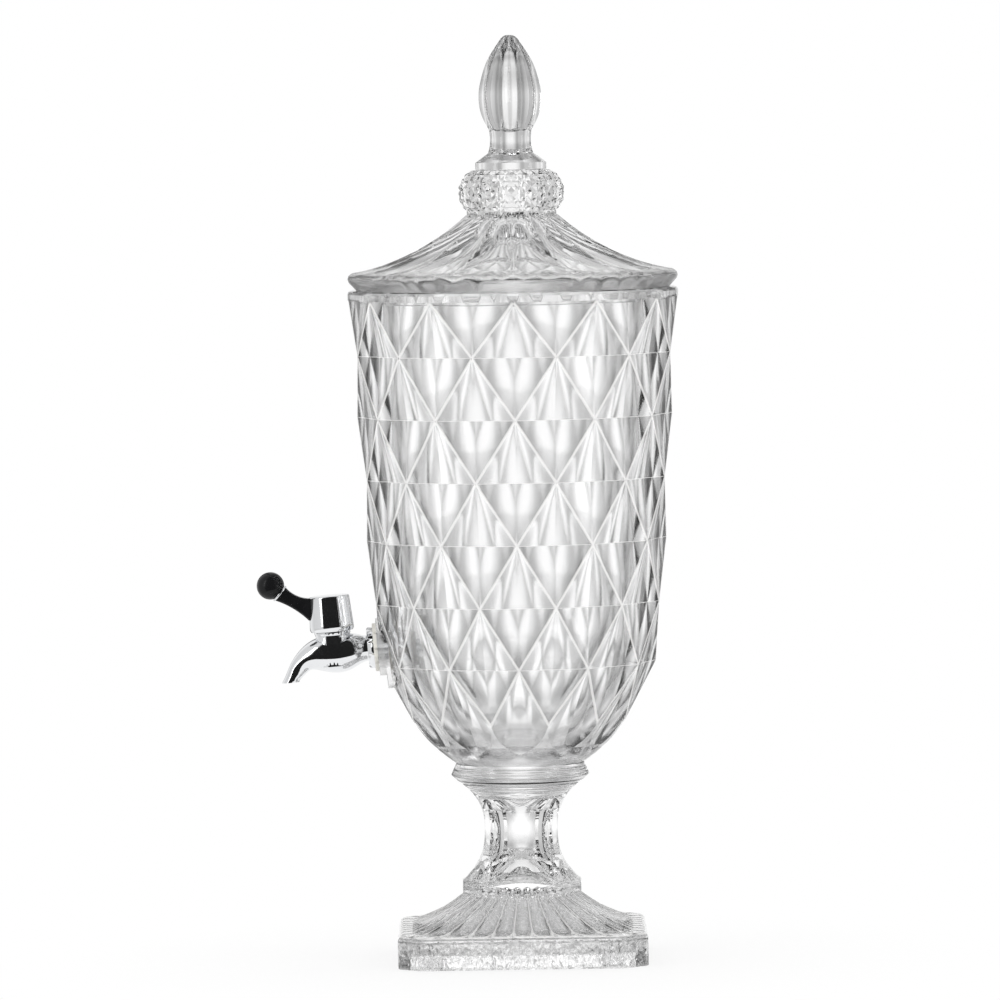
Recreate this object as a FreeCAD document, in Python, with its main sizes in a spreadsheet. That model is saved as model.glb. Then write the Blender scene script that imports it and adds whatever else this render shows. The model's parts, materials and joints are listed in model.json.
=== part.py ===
import FreeCAD, Part
import math
import os
import re
import Sketcher

from FreeCAD import Placement, Rotation, Vector

# Footed glass drinks dispenser: a diamond-cut bowl on a square pedestal, a fluted lid that lifts off,
# and a quarter-turn tap. Millimetres, +Z up, origin on the ground under the bowl's axis, tap towards -X.

SIZES = (
    ("foot_width", 144, "square foot, side to side"),
    ("foot_cant", 14, "cut-off at each corner of the foot"),
    ("foot_wall", 15.5, "upright wall of the foot"),
    ("foot_shoulder", 4, "rounded shoulder over that wall"),
    ("foot_corner", 7, "rounding of the foot's upright edges"),
    ("foot_rim", 13, "standing rim round the hollow underside"),
    ("foot_hollow", 7, "depth of the hollow underside"),
    ("foot_flutes", 36, "petal flutes round the sweep of the foot"),
    ("foot_flute_inset", 2.2, "deepest inset of a petal flute"),
    ("sweep_rise", 19, "height of the sweep from shoulder to ring"),
    ("ring_radius", 34.2, "middle of a flat side of the ring under the stem"),
    ("ring_corner", 41, "that ring at its corners"),
    ("ring_band", 8.5, "height of that ring"),
    ("stem_half", 21.2, "half width of the stem at its waist"),
    ("stem_waist", 70.5, "height of the waist"),
    ("stem_flat", 0.72, "half length of a stem panel over its half width"),
    ("collar_radius", 40, "round collar that carries the bowl"),
    ("collar_lip", 4, "rounding of the collar's lip"),
    ("pedestal_height", 113.6, "top of the pedestal"),
    ("bond_film", 0.3, "clear adhesive film"),
    ("bowl_height", 274.7, "bowl from its foot to its rim"),
    ("rim_radius", 95.7, "outside of the rim band"),
    ("rim_band", 5.6, "height of the plain rim band"),
    ("rim_round", 2, "rounding of the rim's outer corner"),
    ("rim_inner_bevel", 0.8, "bevel of the rim's inner corner"),
    ("rim_step", 0.4, "step from the rim band in to the facets"),
    ("wall_taper", 3.5, "lean of the bowl's wall, degrees"),
    ("belly_rise", 82, "where the wall starts to curve in, above the bowl's foot"),
    ("belly_radius", 107, "radius of that curve"),
    ("bowl_wall", 8, "glass thickness"),
    ("floor_rise", 14.1, "edge of the bowl's inner floor above its foot"),
    ("floor_radius", 160, "dish of the inner floor"),
    ("facet_columns", 12, "diamonds round the bowl"),
    ("facet_rows", 7, "rows of crossings under the rim"),
    ("first_row", 32, "rim band to the first row, along the wall"),
    ("row_pitch", 36, "row to row, along the wall"),
    ("facet_recess", 4, "depth of a diamond's middle below the wall"),
    ("lid_edge_inset", 0.2, "outer edge of the lid, in from the bowl's rim"),
    ("lid_edge_rise", 4.4, "underside of that edge above the bowl's rim"),
    ("lid_edge_round", 3, "rounding of that edge"),
    ("lid_skirt_width", 14, "plain band inside that edge, where the flutes fade out"),
    ("lid_skirt_slope", 20.4, "slope of that band, degrees"),
    ("lid_seat_inset", 5.1, "outside of the ring that rests on the bowl, in from the rim"),
    ("lid_lip_depth", 8, "locating lip inside the bowl"),
    ("lid_lip_width", 7, "width of that lip"),
    ("lid_clearance", 1.2, "lip to bowl"),
    ("lid_neck_radius", 26.5, "neck under the beaded ball"),
    ("lid_neck_rise", 42.4, "height of the neck above the bowl's rim"),
    ("lid_sweep_radius", 136, "hollow curve of the cone"),
    ("lid_wall", 7.5, "glass under the flutes"),
    ("lid_dome", 4.5, "dome of the hollow's top"),
    ("lid_flutes", 16, "flutes round the cone"),
    ("lid_flute_inset", 5, "inset of a flute at its deepest"),
    ("knob_rise", 55.4, "fullest height of the beaded ball above the bowl's rim"),
    ("knob_radius", 29.9, "beaded ball between its beads"),
    ("knob_curve", 15, "curve of its outline"),
    ("knob_low", 50, "degrees of that curve below its fullest height"),
    ("knob_high", 60, "degrees of that curve above it"),
    ("bead_columns", 24, "beads round the ball"),
    ("bead_rows", 7, "bands of beads"),
    ("bead_height", 1, "height of a bead"),
    ("disc_radius", 20.6, "disc under the finial"),
    ("disc_edge", 4, "edge of the disc"),
    ("finial_foot_rise", 9.5, "where the disc becomes the stem"),
    ("finial_stem_radius", 12.5, "stem of the finial"),
    ("bud_rise", 23, "underside of the bud"),
    ("bud_height", 54.5, "bud, underside to tip"),
    ("bud_radius", 18.8, "bud at its fullest"),
    ("bud_lobes", 10, "lobes round the bud"),
    ("bud_inset", 0.45, "groove between lobes"),
    ("tap_rise", 68, "middle of the tap pad above the bowl's foot"),
    ("pad_back", 0.6, "pad face in from the bowl's ridges"),
    ("tap_tilt", 4.5, "lean of the tap, degrees"),
    ("pad_radius", 16.75, "glass pad behind the tap"),
    ("step_radius", 24.5, "wider step behind the pad"),
    ("step_back", 4.1, "pad face to step"),
    ("pad_glass", 6.5, "glass left at the tap hole"),
    ("shank_radius", 7.8, "threaded shank"),
    ("shank_clearance", 0.5, "shank to hole"),
    ("shank_proud", 2.8, "shank past the nut"),
    ("gasket_radius", 14, "soft washers"),
    ("gasket_thickness", 2.2, "thickness of a soft washer"),
    ("washer_thickness", 1.5, "hard washer"),
    ("spot_clearance", 1.5, "washers to the spot face inside the bowl"),
    ("nut_flats", 24, "lock nut across flats"),
    ("nut_height", 7.5, "lock nut"),
    ("thread_clearance", 0.08, "shank to nut"),
    ("flange_radius", 11.9, "tap flange"),
    ("flange_thickness", 3.5, "tap flange"),
    ("flange_bevel", 0.8, "bevel of the flange's front edge"),
    ("valve_reach", 25.3, "pad face to valve axis"),
    ("neck_radius", 7.9, "tap body behind the flange"),
    ("chest_radius", 10.3, "tap body between flange and valve"),
    ("barrel_radius", 11, "tap body at the valve"),
    ("barrel_drop", 1.5, "middle of the barrel below the shank axis"),
    ("throat_radius", 9, "tap body in front of the valve"),
    ("bend_radius", 6.3, "spout where it turns down"),
    ("lip_radius", 5.1, "spout above its mouth"),
    ("mouth_radius", 5.3, "mouth of the spout"),
    ("mouth_reach", 26.5, "valve axis to mouth"),
    ("mouth_drop", 15.8, "mouth below the shank axis"),
    ("spout_wall", 1.3, "wall of the spout"),
    ("tower_radius", 10.5, "collar under the hub"),
    ("tower_height", 11.4, "top of that collar above the shank axis"),
    ("tower_waist", 0.6, "how far the collar draws in at its foot"),
    ("plug_radius", 7.5, "valve plug"),
    ("plug_clearance", 0.06, "plug to chamber"),
    ("plug_drop", 8.3, "bottom of the plug below the shank axis"),
    ("plug_rise", 8.6, "top of the plug above the shank axis"),
    ("plug_gap", 0.2, "end play of the plug"),
    ("port_radius", 3.6, "port through the plug"),
    ("inlet_radius", 4.4, "bore of the shank"),
    ("seal_radius", 1, "section of a sealing ring"),
    ("seal_offset", 5.6, "sealing rings above and below the port"),
    ("seal_clearance", 0.05, "sealing ring to chamber"),
    ("retainer_radius", 8.9, "ring that holds the plug down"),
    ("stem_radius", 4, "stem of the plug"),
    ("stem_drive", 3.1, "half distance between the two flats of the stem"),
    ("stem_clearance", 0.06, "stem to what it turns in"),
    ("stem_top", 23, "top of the stem above the shank axis"),
    ("hub_bottom", 11.8, "underside of the hub above the shank axis"),
    ("hub_top", 32.4, "top of the hub"),
    ("hub_foot_radius", 12.9, "hub at its foot"),
    ("hub_head_radius", 11.7, "hub at its top"),
    ("hub_lip", 1.2, "bevelled lip round the hub's foot"),
    ("hub_round", 1, "rounding of the hub's top edge"),
    ("hub_skirt", 1.8, "wall of the hub's skirt"),
    ("hub_roof", 17.5, "roof of the hub's hollow above the shank axis"),
    ("cap_radius", 8.4, "disc in the top of the hub"),
    ("cap_thickness", 2, "thickness of that disc"),
    ("cap_crown", 0.5, "its crown above the hub"),
    ("cap_clearance", 0.05, "disc to hub"),
    ("screw_radius", 1.5, "handle screw"),
    ("screw_length", 10, "handle screw under its head"),
    ("screw_head", 3.2, "radius of the screw's head"),
    ("screw_head_height", 2.2, "height of the screw's head"),
    ("screw_clearance", 0.1, "screw to its holes"),
    ("lever_reach", 33.2, "middle of the ball from the valve axis"),
    ("lever_rise", 41.1, "middle of the ball above the shank axis"),
    ("lever_angle", 44, "slope of the lever at the ball, degrees"),
    ("lever_root_low", 19.1, "underside of the lever at the hub"),
    ("lever_root_drop", 0.6, "top of the lever at the hub, below the hub's top"),
    ("lever_end_half", 4.75, "half height of the lever at the ball"),
    ("lever_thickness", 8, "lever, side to side"),
    ("lever_round", 1.6, "rounding of the lever's edges"),
    ("lever_top_curve", 18, "curve of the lever's top"),
    ("lever_under_curve", 52, "curve of the lever's underside"),
    ("tongue_depth", 5, "lever's tongue inside the hub"),
    ("tongue_height", 8, "height of the tongue"),
    ("tongue_thickness", 4.4, "thickness of the tongue"),
    ("tongue_clearance", 0.05, "tongue to its slot"),
    ("ball_radius", 8, "ball at the lever's end"),
    ("ball_seat", 6.4, "flat of the ball from its middle"),
    ("ferrule_thickness", 1.2, "bright ring between lever and ball"),
    ("ferrule_radius", 5.3, "bright ring"),
    ("spigot_radius", 2, "lever's spigot in the ball"),
    ("spigot_length", 6, "lever's spigot, with the ring"),
)

doc = FreeCAD.newDocument("drinks_dispenser")
sheet = doc.addObject("Spreadsheet::Sheet", "Sizes")
for line, (alias, value, note) in enumerate(SIZES, start=1):
    sheet.set(f"A{line}", note)
    sheet.set(f"B{line}", str(value))
    sheet.setAlias(f"B{line}", alias)
doc.recompute()

ALIASES = {alias for alias, value, note in SIZES}
pieces = []

# Derived places, as expressions in the sheet's names.
BOWL_BASE = "(pedestal_height + bond_film)"
FACET_TOP = "(bowl_height - rim_band)"
BELLY_X = f"(rim_radius - rim_step - ({FACET_TOP} - belly_rise) * tan(wall_taper))"
CURVE_X = f"({BELLY_X} - belly_radius * cos(wall_taper))"
CURVE_Z = "(belly_rise + belly_radius * sin(wall_taper))"
BOWL_FOOT = f"({CURVE_X} + sqrt(belly_radius ^ 2 - {CURVE_Z} ^ 2))"
INNER_BELLY_X = f"({BELLY_X} - bowl_wall * cos(wall_taper))"
INNER_BELLY_Z = "(belly_rise + bowl_wall * sin(wall_taper))"
INNER_RIM = f"({INNER_BELLY_X} + (bowl_height - {INNER_BELLY_Z}) * tan(wall_taper))"
FLOOR_X = f"({CURVE_X} + sqrt((belly_radius - bowl_wall) ^ 2 - ({CURVE_Z} - floor_rise) ^ 2))"
SHOULDER_TOP = "(foot_wall + foot_shoulder)"
RING_BASE = f"({SHOULDER_TOP} + sweep_rise)"
LID_EDGE = "(rim_radius - lid_edge_inset)"
SKIRT_RADIUS = f"({LID_EDGE} - 0.75 * lid_edge_round)"
SKIRT_RISE = "(lid_edge_rise + 1.77 * lid_edge_round)"
LIP_RADIUS = f"({INNER_RIM} - lid_lip_depth * tan(wall_taper) - lid_clearance)"
KNOB_MIDDLE = "(knob_radius - knob_curve)"
KNOB_FOOT = "(knob_rise - knob_curve * sin(knob_low))"
KNOB_TOP = "(knob_rise + knob_curve * sin(knob_high))"
TAP_FACE = f"({CURVE_X} + sqrt(belly_radius ^ 2 - ({CURVE_Z} - tap_rise) ^ 2) - pad_back)"
NUT_FACE = "(pad_glass + gasket_thickness + washer_thickness)"
CHAMBER_RADIUS = "(plug_radius + plug_clearance)"
CHAMBER_FLOOR = "(plug_drop + plug_gap)"
RETAINER_FOOT = "(plug_rise + plug_gap)"
FLANGE_FRONT = "(gasket_thickness + flange_thickness)"
CAP_SEAT = "(hub_top - cap_thickness)"
LEVER_END_X = "(lever_reach - (ball_seat + ferrule_thickness) * cos(lever_angle))"
LEVER_END_Z = "(lever_rise - (ball_seat + ferrule_thickness) * sin(lever_angle))"

OVERRUN = 1.0


def named(expression):
    """The expression with each of the sheet's names made a reference to its cell."""
    return re.sub(r"[a-z_]+", lambda word: f"Sizes.{word[0]}" if word[0] in ALIASES else word[0], expression)


def number(expression):
    result = sheet.evalExpression(named(expression))
    return float(getattr(result, "Value", result))


def bind(target, **expressions):
    for name, expression in expressions.items():
        target.setExpression(name, named(expression))
    return target


def kept(target, label, at=None):
    """Name a finished sub-part and put it in its place."""
    target.Label = label
    if at is not None:
        target.Placement = at
    pieces.append(target)
    return target


def shift(x="0", z="0"):
    return Placement(Vector(number(x), 0, number(z)), Rotation())


def origin_plane(body, role):
    return next(feature for feature in body.Origin.OriginFeatures if feature.Role == role)


def pin_point(sketch, geometry, end, x, z):
    """Hold one end of a line or arc at a place given by two expressions."""
    if x == "0" and z == "0":
        sketch.addConstraint(Sketcher.Constraint("Coincident", geometry, end, -1, 1))
        return
    for kind, axis, expression in (("DistanceX", -2, x), ("DistanceY", -1, z)):
        if expression == "0":
            sketch.addConstraint(Sketcher.Constraint("PointOnObject", geometry, end, axis))
        else:
            index = sketch.addConstraint(Sketcher.Constraint(kind, -1, 1, geometry, end, number(expression)))
            sketch.setExpression(f"Constraints[{index}]", named(expression))


def draw_outline(body, name, corners, role="XZ_Plane"):
    """Closed outline. A corner is (x, z) or (x, z, radius, side): then an arc runs on to the next corner,
    with its centre to the left (side 1) or the right (side -1) of the way there."""
    sketch = body.newObject("Sketcher::SketchObject", name)
    sketch.AttachmentSupport = [(origin_plane(body, role), "")]
    sketch.MapMode = "FlatFace"
    points = [Vector(number(corner[0]), number(corner[1]), 0) for corner in corners]
    ends = []
    for index, corner in enumerate(corners):
        start = points[index]
        finish = points[(index + 1) % len(points)]
        if len(corner) == 2:
            ends.append((sketch.addGeometry(Part.LineSegment(start, finish)), 1, 2))
            continue
        radius = number(corner[2])
        chord = finish - start
        across = Vector(-chord.y, chord.x, 0).normalize() * corner[3]
        centre = (start + finish) * 0.5 + across * math.sqrt(radius ** 2 - (chord.Length / 2) ** 2)
        first, last = (start, finish) if corner[3] > 0 else (finish, start)
        begin = math.atan2(first.y - centre.y, first.x - centre.x)
        stop = math.atan2(last.y - centre.y, last.x - centre.x)
        arc = Part.ArcOfCircle(Part.Circle(centre, Vector(0, 0, 1), radius), begin, stop)
        geometry = sketch.addGeometry(arc)
        ends.append((geometry, 1, 2) if corner[3] > 0 else (geometry, 2, 1))
    for index, corner in enumerate(corners):
        geometry, start, finish = ends[index]
        after, after_start, after_finish = ends[(index + 1) % len(ends)]
        sketch.addConstraint(Sketcher.Constraint("Coincident", geometry, finish, after, after_start))
        pin_point(sketch, geometry, start, corner[0], corner[1])
        if len(corner) > 2:
            fixed = sketch.addConstraint(Sketcher.Constraint("Radius", geometry, number(corner[2])))
            sketch.setExpression(f"Constraints[{fixed}]", named(corner[2]))
    return sketch


def turned(name, corners):
    """A body turned about its own Z axis from an outline of radius and height."""
    body = doc.addObject("PartDesign::Body", name)
    sketch = draw_outline(body, f"{name}_outline", corners)
    revolution = body.newObject("PartDesign::Revolution", f"{name}_turned")
    revolution.Profile = sketch
    revolution.ReferenceAxis = (sketch, ["V_Axis"])
    revolution.Angle = 360
    return body


def padded(name, corners, length, role, midplane):
    """A body padded from an outline."""
    body = doc.addObject("PartDesign::Body", name)
    pad = body.newObject("PartDesign::Pad", f"{name}_pad")
    pad.Profile = draw_outline(body, f"{name}_outline", corners, role)
    pad.SideType = "Symmetric" if midplane else "One side"
    bind(pad, Length=length)
    return body, pad


def cylinder(name, radius, height, at=None):
    target = bind(doc.addObject("Part::Cylinder", name), Radius=radius, Height=height)
    if at is not None:
        target.Placement = at
    return target


def fused(name, shapes):
    target = doc.addObject("Part::MultiFuse", name)
    target.Shapes = shapes
    return target


def shared(name, shapes):
    target = doc.addObject("Part::MultiCommon", name)
    target.Shapes = shapes
    return target


def cut(name, base, tool):
    target = doc.addObject("Part::Cut", name)
    target.Base = base
    target.Tool = tool
    return target


def formed(name, shape):
    target = doc.addObject("Part::Feature", name)
    target.Shape = shape
    return target


def polar(radius, degrees, height):
    turn = math.radians(degrees)
    return Vector(radius * math.cos(turn), radius * math.sin(turn), height)


def facet(*points):
    return Part.Face(Part.makePolygon(list(points) + [points[0]]))


def closed_solid(faces):
    shell = Part.makeShell(faces)
    shell.sewShape()
    solid = Part.makeSolid(shell)
    if solid.Volume < 0:
        solid.reverse()
    return solid


class DiamondSkin:
    """Rings of crossings joined by straight ridges or valleys, and four flat facets to each diamond.

    rings holds (radius, height, recess) from one end to the other. Every second ring is turned by half a
    diamond. A diamond's middle lies on its ring, the recess inside the crossings (outside if negative)."""

    def __init__(self, columns, rings):
        self.columns = columns
        self.pitch = 360 / columns
        self.rings = rings
        self.last = len(rings) - 1

    def crossing(self, ring, column):
        radius, height, recess = self.rings[ring]
        return polar(radius, (column + 0.5 * (ring % 2)) * self.pitch, height)

    def middle(self, ring, column):
        radius, height, recess = self.rings[ring]
        return polar(radius - recess, (column + 0.5 * (1 - ring % 2)) * self.pitch, height)

    def band(self, ring):
        """The facets between this ring and the next."""
        faces = []
        for column in range(self.columns):
            near = column + ring % 2
            middle = self.middle(ring, near)
            below = self.crossing(ring + 1, near)
            left = self.crossing(ring, near - ring % 2)
            right = self.crossing(ring, near - ring % 2 + 1)
            faces += [facet(middle, left, below), facet(middle, below, right)]
            top = self.crossing(ring, column)
            centre = self.middle(ring + 1, near - 1 + (ring + 1) % 2)
            low_left = self.crossing(ring + 1, near - 1)
            low_right = self.crossing(ring + 1, near)
            faces += [facet(top, low_left, centre), facet(top, centre, low_right)]
        return faces

    def edge(self, ring):
        """The ring as a polygon, crossings and middles by turns."""
        points = []
        for column in range(self.columns):
            pair = [self.crossing(ring, column), self.middle(ring, column)]
            points += pair if ring % 2 == 0 else pair[::-1]
        return points

    def bands(self):
        return [face for ring in range(self.last) for face in self.band(ring)]


def wall_between(low, high):
    count = len(low)
    return [facet(low[i], low[(i + 1) % count], high[(i + 1) % count], high[i]) for i in range(count)]


def scalloped(height, count, ridge, inset, phase=0):
    """Closed ring of arcs that dip between ridge points. ridge gives the radius at an angle."""
    step = 360 / count
    edges = []
    for index in range(count):
        start = phase + index * step
        first = polar(ridge(start), start, height)
        last = polar(ridge(start + step), start + step, height)
        halfway = (first + last) * 0.5
        outward = Vector(halfway.x, halfway.y, 0).normalize()
        edges.append(Part.Arc(first, halfway - outward * inset, last).toShape())
    return Part.Wire(edges)


def canted_square(half, cant):
    inner = f"({half} - {cant})"
    corners = [(half, f"-{inner}"), (half, inner), (inner, half), (f"-{inner}", half)]
    return corners + [(f"-{half}", inner), (f"-{half}", f"-{inner}"), (f"-{inner}", f"-{half}"),
                      (inner, f"-{half}")]


def make_foot_plate():
    body, pad = padded("foot_plate", canted_square("foot_width / 2", "foot_cant"), SHOULDER_TOP, "XY_Plane",
                       False)
    doc.recompute()
    uprights = [f"Edge{index}" for index, edge in enumerate(pad.Shape.Edges, start=1)
                if abs(edge.tangentAt(edge.FirstParameter).z) > 0.99]
    corners = body.newObject("PartDesign::Fillet", "foot_corner_round")
    corners.Base = (pad, uprights)
    bind(corners, Radius="foot_corner")
    doc.recompute()
    tops = [index for index, face in enumerate(corners.Shape.Faces, start=1) if face.normalAt(0, 0).z > 0.99]
    shoulder = body.newObject("PartDesign::Fillet", "foot_shoulder_round")
    shoulder.Base = (corners, [f"Face{tops[0]}"])
    bind(shoulder, Radius="foot_shoulder")
    return body


def make_foot_sweep():
    """The hollow sweep from the square shoulder up to the round ring, in petal flutes."""
    half = number("foot_width / 2 - foot_shoulder")
    cant = number("foot_cant")
    ring = number("ring_radius - foot_flute_inset / 4")
    low = number(SHOULDER_TOP)
    rise = number("sweep_rise")
    flutes = int(number("foot_flutes"))
    deepest = number("foot_flute_inset")

    def square(degrees):
        turn = math.radians(degrees)
        along, across = abs(math.cos(turn)), abs(math.sin(turn))
        return min(half / max(along, across), (2 * half - cant) / (along + across))

    wires = []
    stations = ((0.0, 0.25), (0.15, 0.6), (0.35, 0.85), (0.55, 1.0), (0.75, 0.95), (0.9, 0.5), (1.0, 0.05))
    for share, depth in stations:
        height = low - OVERRUN + (rise + OVERRUN) * (1 - share) ** 1.3
        wires.append(scalloped(height, flutes, lambda turn: ring + (square(turn) - ring) * share,
                               deepest * depth, 180 / flutes))
    return formed("foot_sweep", Part.makeLoft(wires, True, False))


def make_stem():
    """A square column with cut corners, drawn in at its waist and round at both ends."""
    flat = number("stem_flat")
    corner = math.degrees(math.atan(flat))
    waist_half, waist = number("stem_half"), number("stem_waist")
    foot = (number(f"{RING_BASE} + ring_band"), number("ring_radius - 1.5"), 1.9)
    head = (number("pedestal_height - 3 * collar_lip"), number("collar_radius - 1.6 * collar_lip"), 3.0)

    def section(height, half, squareness):
        reach = half * (1 + squareness * (math.sqrt(1 + flat ** 2) - 1))
        panel = half * (1 - 0.02 * squareness)
        cant = half * (1 + squareness * (0.985 * (1 + flat) / math.sqrt(2) - 1))
        edges = []
        for quarter in range(4):
            turn = quarter * 90
            first, second = polar(reach, turn - corner, height), polar(reach, turn + corner, height)
            third = polar(reach, turn + 90 - corner, height)
            edges.append(Part.Arc(first, polar(panel, turn, height), second).toShape())
            edges.append(Part.Arc(second, polar(cant, turn + 45, height), third).toShape())
        return Part.Wire(edges)

    wires = []
    for (end, radius, power), shares in ((foot, (1.0, 0.68, 0.38)), (head, (0.0, 0.4, 0.7, 1.0))):
        for share in shares:
            height = waist + (end - waist) * share
            half = waist_half + (radius - waist_half) * share ** power
            wires.append(section(height, half, 1 - share ** 2))
    return formed("stem_column", Part.makeLoft(wires, True, False))


def make_pedestal():
    ring_top = f"({RING_BASE} + ring_band)"
    round_ring = turned("stem_ring_round", [
        ("0", f"{RING_BASE} - 2"), ("ring_radius - 1", f"{RING_BASE} - 2"), ("ring_radius", RING_BASE),
        ("ring_corner", f"{RING_BASE} + 0.45 * ring_band"), ("ring_corner", f"{RING_BASE} + 0.55 * ring_band"),
        ("ring_radius - 1.5", ring_top), ("0", ring_top)])
    sides = [("ring_radius", "-ring_radius"), ("ring_radius", "ring_radius"), ("-ring_radius", "ring_radius"),
             ("-ring_radius", "-ring_radius")]
    flat_sides, side_pad = padded("stem_ring_sides", sides, f"{ring_top} + 1", "XY_Plane", False)
    ring = shared("stem_ring", [round_ring, flat_sides])
    under = "(pedestal_height - 3 * collar_lip)"
    collar = turned("collar", [
        ("0", f"{under} - 2"), ("collar_radius - 2.4 * collar_lip", f"{under} - 2"),
        ("collar_radius - 0.4 * collar_lip", "pedestal_height - 2.1 * collar_lip"),
        ("collar_radius", "pedestal_height - 1.6 * collar_lip"),
        ("collar_radius - 0.2 * collar_lip", "pedestal_height - 1.1 * collar_lip"),
        (BOWL_FOOT, "pedestal_height"), ("0", "pedestal_height")])
    solid = fused("pedestal_solid", [make_foot_plate(), make_foot_sweep(), ring, make_stem(), collar])
    hollow, pad = padded("foot_underside", canted_square("(foot_width / 2 - foot_rim)", "foot_cant"),
                         "foot_hollow", "XY_Plane", False)
    kept(cut("pedestal", solid, hollow), "pedestal_foot")


def make_bonds():
    bond = cylinder("bowl_bond", f"{BOWL_FOOT} - 1", "bond_film")
    kept(bond, "pedestal_bond", shift(z="pedestal_height"))
    film = cylinder("knob_bond", "disc_radius - 1", "bond_film")
    kept(film, "finial_bond", shift(z=f"{BOWL_BASE} + bowl_height + {KNOB_TOP}"))


def bowl_ring(along, recess):
    """Radius, height and recess at a distance along the bowl's wall, from the rim band down."""
    taper = math.radians(number("wall_taper"))
    straight = (number(FACET_TOP) - number("belly_rise")) / math.cos(taper)
    if along <= straight:
        lean = taper
        radius = number("rim_radius - rim_step") - along * math.sin(taper)
        height = number(FACET_TOP) - along * math.cos(taper)
    else:
        curve = number("belly_radius")
        lean = taper + (along - straight) / curve
        radius = number(CURVE_X) + curve * math.cos(lean)
        height = number(CURVE_Z) - curve * math.sin(lean)
    return radius, height, recess / math.cos(lean)


def make_bowl_facets():
    """The diamond-cut outside. Its lowest facets run on past the last crossings, to be trimmed by the
    round bottom, and its top runs up inside the rim band."""
    recess = number("facet_recess")
    pitch = number("row_pitch")
    places = [0] + [number("first_row") + pitch * row for row in range(int(number("facet_rows")))]
    skin = DiamondSkin(int(number("facet_columns")), [bowl_ring(place, recess) for place in places])
    faces = [face for ring in range(skin.last - 1) for face in skin.band(ring)]
    inside_rim = number("rim_band") / 2
    top = skin.edge(0)
    raised = [point + Vector(0, 0, inside_rim) for point in top]
    faces += wall_between(top, raised)
    faces.append(facet(*raised))

    ring = skin.last - 1
    floor = -2 * OVERRUN
    low_edge = []
    for column in range(skin.columns):
        near = column + ring % 2
        middle, below = skin.middle(ring, near), skin.crossing(ring + 1, near)
        left = skin.crossing(ring, near - ring % 2)
        right = skin.crossing(ring, near - ring % 2 + 1)
        faces += [facet(middle, left, below), facet(middle, below, right)]
        top = skin.crossing(ring, column)
        centre = skin.middle(ring + 1, near - 1 + (ring + 1) % 2)
        low_right = skin.crossing(ring + 1, near)
        low_left = skin.crossing(ring + 1, near - 1)
        run = (top.z - floor) / (top.z - centre.z)
        centre_end = top + (centre - top) * run
        right_end = runout(top, centre, low_right, floor)
        left_end = runout(top, centre, low_left, floor)
        faces += [facet(top, low_left, left_end, centre_end), facet(top, centre_end, right_end, low_right)]
        low_edge += [centre_end, right_end]
    faces.append(facet(*low_edge))
    return formed("bowl_facets", closed_solid(faces))


def runout(top, centre, crossing, height):
    """Where the facet through three points meets a height, straight below or above one crossing."""
    normal = (centre - top).cross(crossing - top)
    outward = Vector(crossing.x, crossing.y, 0).normalize()
    reach = (normal.dot(top) - normal.z * height) / normal.dot(outward)
    return Vector(outward.x * reach, outward.y * reach, height)


def tap_place():
    """Frame of the tap: X out of the glass along the shank, Z up along the valve's axis."""
    lean = Rotation(Vector(0, 0, 1), 180) * Rotation(Vector(0, 1, 0), number("tap_tilt"))
    return Placement(Vector(-number(TAP_FACE), 0, number(f"{BOWL_BASE} + tap_rise")), lean)


def on_shank(start):
    """A place on the shank, with Z turned along it and out of the glass."""
    return Placement(Vector(number(start), 0, 0), Rotation(Vector(0, 1, 0), 90))


def on_valve(height="0"):
    return shift("valve_reach", height)


def make_bowl():
    band_foot = FACET_TOP
    outside = turned("bowl_outside", [
        ("0", "0"), (BOWL_FOOT, "0", "belly_radius", 1), (BELLY_X, "belly_rise"),
        ("rim_radius - rim_step + 0.1", f"{band_foot} + rim_band / 2"), ("0", f"{band_foot} + rim_band / 2")])
    rim = turned("bowl_rim", [
        ("0", band_foot), ("rim_radius", band_foot), ("rim_radius", "bowl_height - rim_round"),
        ("rim_radius - 0.3 * rim_round", "bowl_height - 0.3 * rim_round"),
        ("rim_radius - rim_round", "bowl_height"), ("0", "bowl_height")])
    inside = turned("bowl_inside", [
        ("0", f"floor_rise - floor_radius + sqrt(floor_radius ^ 2 - {FLOOR_X} ^ 2)", "floor_radius", 1),
        (FLOOR_X, "floor_rise", "belly_radius - bowl_wall", 1), (INNER_BELLY_X, INNER_BELLY_Z),
        (INNER_RIM, "bowl_height - rim_inner_bevel"), (f"{INNER_RIM} + rim_inner_bevel", "bowl_height"),
        (f"{INNER_RIM} + rim_inner_bevel", "bowl_height + 2"), ("0", "bowl_height + 2")])
    lowered = Placement(Vector(0, 0, -number(BOWL_BASE)), Rotation()) * tap_place()
    depth = "4 * pad_glass"
    pad = cylinder("tap_pad", "pad_radius", depth, lowered * on_shank(f"-{depth}"))
    step = cylinder("tap_step", "step_radius", depth, lowered * on_shank(f"-{depth} - step_back"))
    hole = cylinder("tap_hole", "shank_radius + shank_clearance", f"2 * {depth}",
                    lowered * on_shank(f"-{depth}"))
    spot = cylinder("tap_spot_face", "gasket_radius + spot_clearance", depth,
                    lowered * on_shank(f"-{depth} - pad_glass"))
    faceted = shared("bowl_cut_outside", [make_bowl_facets(), outside])
    solid = fused("bowl_solid", [faceted, rim, pad, step])
    kept(cut("bowl", solid, fused("bowl_cuts", [inside, hole, spot])), "glass_bowl", shift(z=BOWL_BASE))


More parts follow.
